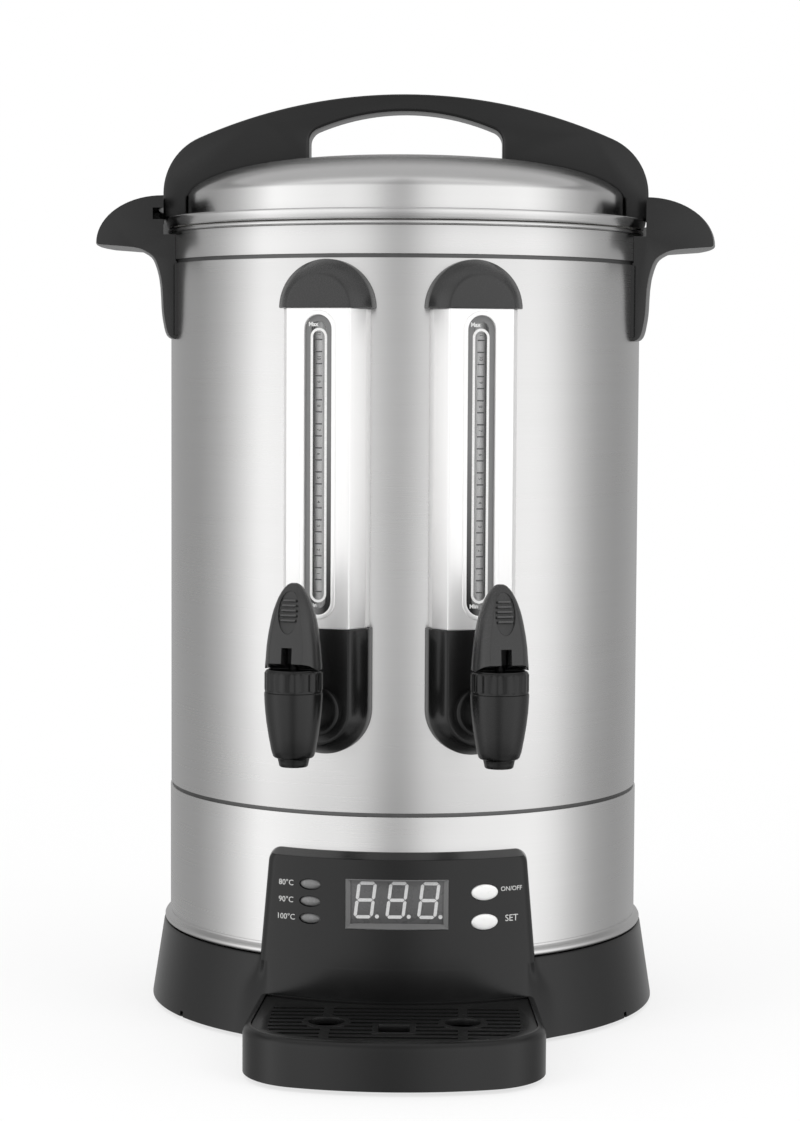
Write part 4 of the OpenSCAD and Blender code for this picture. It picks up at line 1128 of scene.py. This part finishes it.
def trayLine(inset, z):
    # the bowed outline, drawn in by an inset
    t = tray
    bowY = -(t["reach"] - t["bow"])
    centreX = t["half"] - t["corner"]
    centreY = bowY - math.sqrt((t["bow"] - t["corner"]) ** 2 - centreX ** 2)
    turn = math.degrees(math.asin(centreX / (t["bow"] - t["corner"])))
    line = [(t["rootHalf"] - inset, t["rootY"])]
    line += arc((centreX, centreY), t["corner"] - inset, 0, -90 + turn, 16)
    line += arc((0, bowY), t["bow"] - inset, -90 + turn, -90 - turn, 24)[1:]
    line += arc((-centreX, centreY), t["corner"] - inset, -90 - turn, -180, 16)[1:]
    line.append((-t["rootHalf"] + inset, t["rootY"]))
    return [(x, y, z) for x, y in line]


def drum(radius, low, high):
    return turned("drum", [(0, low), (radius, low), (radius, high), (0, high)], 240)


def makeTray():
    t = tray
    body = slab("tray", trayLine(0, t["low"]), (0, 0, t["rim"] - t["low"]))
    # the rim is rounded all along the outline, but not at the urn
    selectOnly(body)
    bpy.ops.object.mode_set(mode="EDIT")
    bpy.ops.mesh.select_mode(type="EDGE")
    bpy.ops.mesh.select_all(action="DESELECT")
    grid = bmesh.from_edit_mesh(body.data)
    for edge in grid.edges:
        a, b = edge.verts
        onRim = min(a.co.z, b.co.z) > (t["rim"] - 0.1) * mm
        edge.select_set(onRim and min(a.co.y, b.co.y) < (t["rootY"] - 1) * mm)
    bmesh.update_edit_mesh(body.data)
    bpy.ops.mesh.bevel(offset=t["rimRound"] * mm, segments=6, profile=0.5)
    bpy.ops.mesh.select_mode(type="VERT")
    tidyMesh(body, 0.001)
    pocket = slab("pocket", trayLine(t["pocket"], t["pocketLow"]), (0, 0, 20))
    cut(pocket, drum(t["pocketBack"], 0, 60))
    basin = slab("basin", trayLine(t["basin"], t["floor"]), (0, 0, 40))
    cut(basin, drum(t["basinBack"], 0, 60))
    under = slab("under", trayLine(t["under"], 0), (0, 0, 6))
    cut(under, drum(t["underBack"], -5, 60))
    cut(body, pocket, basin, under)
    return body


def makeBaseHousing():
    base = makeSkirt()
    body = makeTray()
    cut(body, drum(tray["back"], -5, 60))
    cut(base, makeConsole(), body, operation="UNION")
    dropSlivers(base)
    finish(base, blackMoulding, "urn", "black_plastic", "base_housing")
    modify(base, "WEIGHTED_NORMAL", keep_sharp=True)


def post(name, radius, low=15, high=35):
    # an upright cutter through the tray cover at a cup's target
    return [turned(name, [(0, low), (radius, low), (radius, high), (0, high)], 64,
                   (way * trayCover["targetX"], trayCover["targetY"])) for way in sides.values()]


def makeTrayCover():
    t = trayCover
    cover = slab("dripGrille", trayLine(t["inset"], t["low"]), (0, 0, t["high"] - t["low"]))
    cut(cover, drum(t["back"], 0, 60))
    slots = []
    for i in range(t["rows"]):
        y = t["front"] + i * t["pitch"]
        # the bars are narrower below, so that the slots look dark
        line = [(y - t["spread"], 20), (y + t["slot"] + t["spread"], 20),
                (y + t["slot"] - t["pinch"], 30), (y + t["pinch"], 30)]
        slots.append(slab("slot", [(-t["half"], y, z) for y, z in line], (2 * t["half"], 0, 0)))
    join(*slots)
    field = slab("field", trayLine(t["inset"] + t["fieldInset"], 19), (0, 0, 14))
    cut(slots[0], cut(field, drum(t["fieldBack"], 0, 60)), operation="INTERSECT")
    # the slots stop at a ring round each target, a bar through it and the finger hole's web
    for way, ring in zip(sides.values(), post("ring", t["ringRadius"])):
        x, half = way * t["targetX"], t["divider"]
        cut(slots[0], ring, block("divider", (x - half, -250, 15), (x + half, -140, 35)))
    (halfX, halfY), y = t["holeHalf"], t["holeY"]
    webX, webY = halfX + t["web"], halfY + t["web"]
    cut(slots[0], block("web", (-webX, y - webY, 15), (webX, y + webY, 35)))
    holes = post("hole", t["targetRadius"])
    fingerHole = block("fingerHole", (-halfX, y - halfY, 15), (halfX, y + halfY, 35))
    cut(cover, slots[0], *holes, roundEdges(fingerHole, 1.0, 3))
    roundEdges(cover, t["edge"], 2, 40)
    finish(cover, coverMoulding, "drip_grille", "black_plastic", "drip_grille")


makeBaseHousing()
makeTrayCover()
print("base and tray made")


# display: a grey window set back behind sloped sides, with three slanted digits

display = {"half": 27.7, "low": 66.3, "high": 93.3, "sideSlope": 2.6, "footSlope": 2.3,
           "glassY": -142.4, "digitX": (-17.05, 0, 17.0), "digitZ": 81.7, "digitHeight": 20,
           "digitWidth": 10.4, "stroke": 1.75, "lean": 0.12, "dotX": 6.3, "dotZ": 72.8,
           "dotRadius": 1.1}


def windowEdge(half, low, high, y=None):
    # a rectangle of points, on the curved face or flat at a given y
    steps = 24          # along the top and the bottom; each side has 8
    xs = [-half + 2 * half * i / steps for i in range(steps + 1)]
    line = [(x, low) for x in xs] + [(half, low + (high - low) * i / 8) for i in range(1, 8)]
    line += [(x, high) for x in xs[::-1]]
    line += [(-half, high + (low - high) * i / 8) for i in range(1, 8)]
    if y is not None:
        return onFront(line, y)
    sunk = 0.25
    return [(x, -math.sqrt((faceRadius(z) - sunk) ** 2 - x * x), z) for x, z in line]


def makeDisplay():
    d = display
    inner = windowEdge(d["half"] - d["sideSlope"], d["low"] + d["footSlope"], d["high"] - 0.3,
                       d["glassY"])
    outer = windowEdge(d["half"], d["low"], d["high"])
    surround = traceLine("displayFrame", outer + outer[:1])
    leaveEditMode()
    rim = traceLine("rim", inner + inner[:1])
    leaveEditMode()
    join(surround, rim)
    editAll(surround)
    bpy.ops.mesh.remove_doubles(threshold=0.004 * mm)
    bpy.ops.mesh.bridge_edge_loops()
    tidyMesh(surround)
    modify(surround, "SOLIDIFY", thickness=0.6 * mm, offset=-1)
    tidyMesh(surround, 0.0005)
    finish(surround, displayFrameGrey, "urn", "display_frame", "display_module")
    half = d["half"] - d["sideSlope"] + 0.3
    glass = block("displayWindow", (-half, d["glassY"], d["low"] + d["footSlope"] - 0.3),
                  (half, d["glassY"] + 1.2, d["high"]))
    roundEdges(glass, 0.25, 2)
    finish(glass, displayGrey, "urn", "display_lens", "display_window")
    digits = []
    for x in d["digitX"]:
        digits += digitStrokes(x)
        digits.append(roundPatch(x + d["dotX"], d["dotZ"], d["dotRadius"]))
    join(*digits)
    digits[0].name = "displayDigits"
    finish(digits[0], digitWhite, "urn", "display_lens")


def roundPatch(x, z, radius):
    line = arc((x, z), radius, 0, 345, 23)
    return slab("dot", onFront(line, display["glassY"] + 0.05), (0, -0.2, 0))


def digitStrokes(x):
    # seven strokes with pointed ends, leaning to the right
    d = display
    half, tall, t = d["digitWidth"] / 2, d["digitHeight"] / 2, d["stroke"] / 2
    gap = 0.22
    pieces = []

    def stroke(one, two):
        along = Vector(two) - Vector(one)
        along.normalize()
        across = Vector((-along.y, along.x))
        a, b = Vector(one) + along * gap, Vector(two) - along * gap
        line = [a, a + (along + across) * t, b + (across - along) * t, b, b - (across + along) * t,
                a + (along - across) * t]
        points = [(x + p.x + p.y * d["lean"], d["glassY"] + 0.05, d["digitZ"] + p.y) for p in line]
        pieces.append(slab("stroke", points, (0, -0.2, 0)))

    right, up = half - t, tall - t
    for z in (-up, 0, up):
        stroke((-right, z), (right, z))
    for side in (-right, right):
        stroke((side, -up), (side, 0))
        stroke((side, 0), (side, up))
    return pieces


def wrapOnFace(piece, turn, z):
    # bends a piece that faces the front onto the console
    for vertex in piece.data.vertices:
        x, y, h = vertex.co / mm
        r = faceRadius(z + h) - y
        a = turn + x / faceRadius(z)
        vertex.co = Vector((r * math.sin(a), -r * math.cos(a), z + h)) * mm
    return piece


labels = {"left": (("80°C", 89.2, 4.3), ("90°C", 80.0, 4.3), ("100°C", 70.7, 4.3)),
          "right": (("ON/OFF", 86.9, 3.5), ("SET", 70.9, 5.0)), "leftAngle": -24.2,
          "rightAngle": 24.8}


def makeKeys():
    h = housing
    for node, z in (("power_button", h["buttonZ"][0]), ("set_button", h["buttonZ"][1])):
        button = ovalBar(node.split("_")[0] + "Button", *h["button"], *h["buttonReach"], z,
                         h["keyAngle"], *h["buttonDome"])
        finish(button, buttonWhite, node, "button_white", node)
    lenses = [ovalBar("indicatorLenses", *h["lens"], *h["lensReach"], z, -h["keyAngle"],
                      *h["lensDome"]) for z in h["lensZ"]]
    join(*lenses)
    finish(lenses[0], lensGrey, "urn", "indicator_lens", "indicator_lenses")
    words = []
    for side in ("left", "right"):
        for text, z, size in labels[side]:
            word = textMesh("word", text, size, 0.015, 0.24)
            words.append(wrapOnFace(word, math.radians(labels[side + "Angle"]), z))
    join(*words)
    words[0].name = "consoleLabels"
    finish(words[0], printWhite, "urn", "black_plastic")


makeDisplay()
makeKeys()
print("display and keys made")


# pieces kept from the frame, with their finishes

finishes = {
    "base_plate": coverMoulding, "rubber_feet": footRubber, "base_screws": screwSteel,
    "handle_screws": screwSteel, "lid_handle_screws": screwSteel, "heater_plate": aluminium,
    "heating_coil": elementMetal, "thermal_cutout": ceramic, "temperature_sensor": stemSteel,
    "control_board": boardGreen, "power_board": boardGreen, "inlet_pins": brass,
    "tube_seals": siliconeSeal, "shank_nuts": stemSteel
}
for side in sides:
    finishes.update({
        "gauge_window_" + side: gaugeGlass, "scale_plate_" + side: backingStrip,
        "sight_tube_" + side: tubeGlass, "tap_shank_" + side: brass, "tap_stem_" + side: darkStem,
        "lever_pin_" + side: darkStem, "seat_cup_" + side: seatRubber
    })
for node, material in finishes.items():
    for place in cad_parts[node].material_slots:
        place.material = material


def softened(node, name, width):
    # a copy of a frame piece with its edges broken
    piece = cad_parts[node].copy()
    piece.data = piece.data.copy()
    piece.name = name
    bpy.context.scene.collection.objects.link(piece)
    editAll(piece)
    bpy.ops.mesh.remove_doubles(threshold=0.01 * mm)
    bpy.ops.mesh.dissolve_limited(angle_limit=math.radians(3))
    leaveEditMode()
    return roundEdges(piece, width, 2)


finish(softened("power_inlet", "powerInlet", 0.5), tapMoulding, "urn", "inlet_plastic",
       "power_inlet")
print("kept pieces finished")


# floor, light and camera

# the floor is in metres, the reach, height and depth of the surroundings in millimetres
studio = {
    "floor": 9, "floorGlow": 0.72, "floorFade": (0.25, 1.0), "worldLevel": 0.72,
    "reach": 2900, "height": 2600, "depth": -1600, "bowlPower": 4.0,
    "ceilingPower": 1.9, "ceilingShare": 0.5,
    # brightness of the surroundings by the angle from the front, seen in reflections only
    "around": [(-180, 0.47), (-135, 0.45), (-114, 0.46), (-97, 0.68), (-83, 1.12), (-71, 1.62),
               (-59, 1.52), (-48, 1.44), (-38, 1.36), (-27, 1.38), (-17, 1.2), (-8, 0.8),
               (-3, 0.66), (2, 0.7), (12, 1.2), (22, 1.4), (43, 1.44), (54, 1.46), (65, 1.52),
               (77, 1.32), (90, 0.88), (105, 0.56), (123, 0.45), (150, 0.48), (180, 0.47)],
    # and of the ceiling, from the front to the back
    "above": [(-1, 0.25), (-0.5, 0.4), (0, 0.75), (1, 0.95)],
    # how the bowl's brightness changes from its floor to its rim, by height in metres
    "rise": [(-1.6, 0.42), (-1.2, 0.95), (-0.2, 1), (1.0, 1), (2.6, 0.66)],
    # name, place, aim, size and power
    "lamps": (("keyLeft", (-1.9, -1.7, 1.9), (0, 0, 0.25), (1.4, 1.4), 22),
              ("keyRight", (1.9, -1.7, 1.9), (0, 0, 0.25), (1.4, 1.4), 20),
              ("overhead", (0, 0.1, 2.6), (0, 0, 0), (2.2, 2.2), 26))}


def makeFloor():
    # a pale floor that glows further out, so that it runs into the background
    bpy.ops.object.select_all(action="DESELECT")
    bpy.ops.mesh.primitive_plane_add(size=studio["floor"])
    floor = bpy.context.active_object
    floor.name = "floor"
    sheet = Sheet("pale floor")
    sheet.shade(colour=grey(0.86), rough=0.7, specular=0.2)
    path = sheet.add("ShaderNodeLightPath")
    glow = sheet.add("ShaderNodeEmission", inputs={"Color": grey(1), "Strength": 1.0})
    bare = Socket(sheet, sheet.shader.outputs[0])
    away = sheet.add("ShaderNodeVectorMath", {"operation": "LENGTH"}, {0: sheet.spot()}, 1)
    share = sheet.remap(away, studio["floorGlow"], 1, *studio["floorFade"])
    mixed = sheet.add("ShaderNodeMixShader", inputs={0: path * share, 1: bare, 2: glow})
    floor.data.materials.append(sheet.output("Material Output", mixed))
    floor.visible_glossy = False


def makeWorld():
    sheet = Sheet("studio", "worlds", "Background")
    bpy.context.scene.world = sheet.owner
    path = {way: sheet.add("ShaderNodeLightPath", output=way) for way in
            ("Is Camera Ray", "Is Glossy Ray", "Is Transmission Ray")}
    white = path["Is Camera Ray"] + path["Is Glossy Ray"] + path["Is Transmission Ray"]
    level = sheet.remap(white, studio["worldLevel"], 1, 0, 1)
    sheet.feed(sheet.shader.inputs["Color"], grey(1))
    sheet.feed(sheet.shader.inputs["Strength"], level)


def ramp(sheet, value, stops, low, high):
    # greys from a list of (place, level), with the levels halved so that they stay below one
    scaled = sheet.remap(value, 0, 1, low, high)
    node = sheet.tree.nodes.new("ShaderNodeValToRGB")
    sheet.feed(node.inputs[0], scaled)
    elements = node.color_ramp.elements
    elements[0].color, elements[-1].color = grey(stops[0][1] / 2), grey(stops[-1][1] / 2)
    for spot, level in stops[1:-1]:
        elements.new((spot - low) / (high - low)).color = grey(level / 2)
    return Socket(sheet, node.outputs[0])


def makeSurround():
    # a bowl and a ceiling around the urn, seen in reflections only
    reach, high = studio["reach"], studio["height"]
    bowl = turned("surround", [(0, studio["depth"]), (reach, studio["depth"]), (reach, high)], 64)
    ceiling = turned("ceiling", [(0, high), (reach, high)], 64)
    for piece in (bowl, ceiling):
        glow = Sheet(piece.name)
        spot = glow.spot()
        x, y, z = (glow.axis(spot, i) for i in range(3))
        shade = ramp(glow, x.maths("ARCTAN2", y * -1) * (180 / pi), studio["around"], -180, 180)
        if piece is bowl:
            rise = ramp(glow, z, studio["rise"], studio["depth"] * mm, high * mm)
            shade = glow.blend(1, shade, rise, "MULTIPLY")
            strength = studio["bowlPower"]
        else:
            above = ramp(glow, y / (reach * mm), studio["above"], -1, 1)
            shade = glow.blend(studio["ceilingShare"], above, shade)
            strength = studio["ceilingPower"]
        light = glow.add("ShaderNodeEmission", inputs={"Color": shade, "Strength": strength})
        piece.data.materials.append(glow.output("Material Output", light))
        for way in ("camera", "diffuse", "shadow", "transmission", "volume_scatter"):
            setattr(piece, "visible_" + way, False)


def lamp(name, place, aim, size, power):
    light = bpy.data.lights.new(name, "AREA")
    light.shape = "RECTANGLE"
    light.size, light.size_y = size
    light.energy = power
    holder = bpy.data.objects.new(name, light)
    bpy.context.scene.collection.objects.link(holder)
    holder.location = place
    holder.rotation_euler = (Vector(aim) - Vector(place)).to_track_quat("-Z", "Y").to_euler()
    holder.visible_glossy = False


# the place is in millimetres, the angles are in degrees; orbit turns the camera round the urn
view = {"place": (0, -1606.8, 365.55), "pitch": 3.965, "roll": 0.31, "yaw": 0.0833, "lens": 88.8,
        "orbit": 1.1}


def makeCamera():
    camera = bpy.data.cameras.new("camera")
    camera.lens = view["lens"]
    camera.sensor_width = 36
    camera.clip_end = 30
    holder = bpy.data.objects.new("camera", camera)
    bpy.context.scene.collection.objects.link(holder)
    turn = [math.radians(view[name]) for name in ("orbit", "yaw", "pitch", "roll")]
    place = Matrix.Translation(Vector(view["place"]) * mm)
    aim = (Matrix.Rotation(turn[1], 4, "Z") @ Matrix.Rotation(pi / 2 - turn[2], 4, "X")
           @ Matrix.Rotation(turn[3], 4, "Z"))
    holder.matrix_world = Matrix.Rotation(turn[0], 4, "Z") @ place @ aim
    bpy.context.scene.camera = holder


makeFloor()
makeWorld()
makeSurround()
for settings in studio["lamps"]:
    lamp(*settings)
makeCamera()
bpy.context.scene.view_settings.view_transform = "Standard"
print("studio ready")
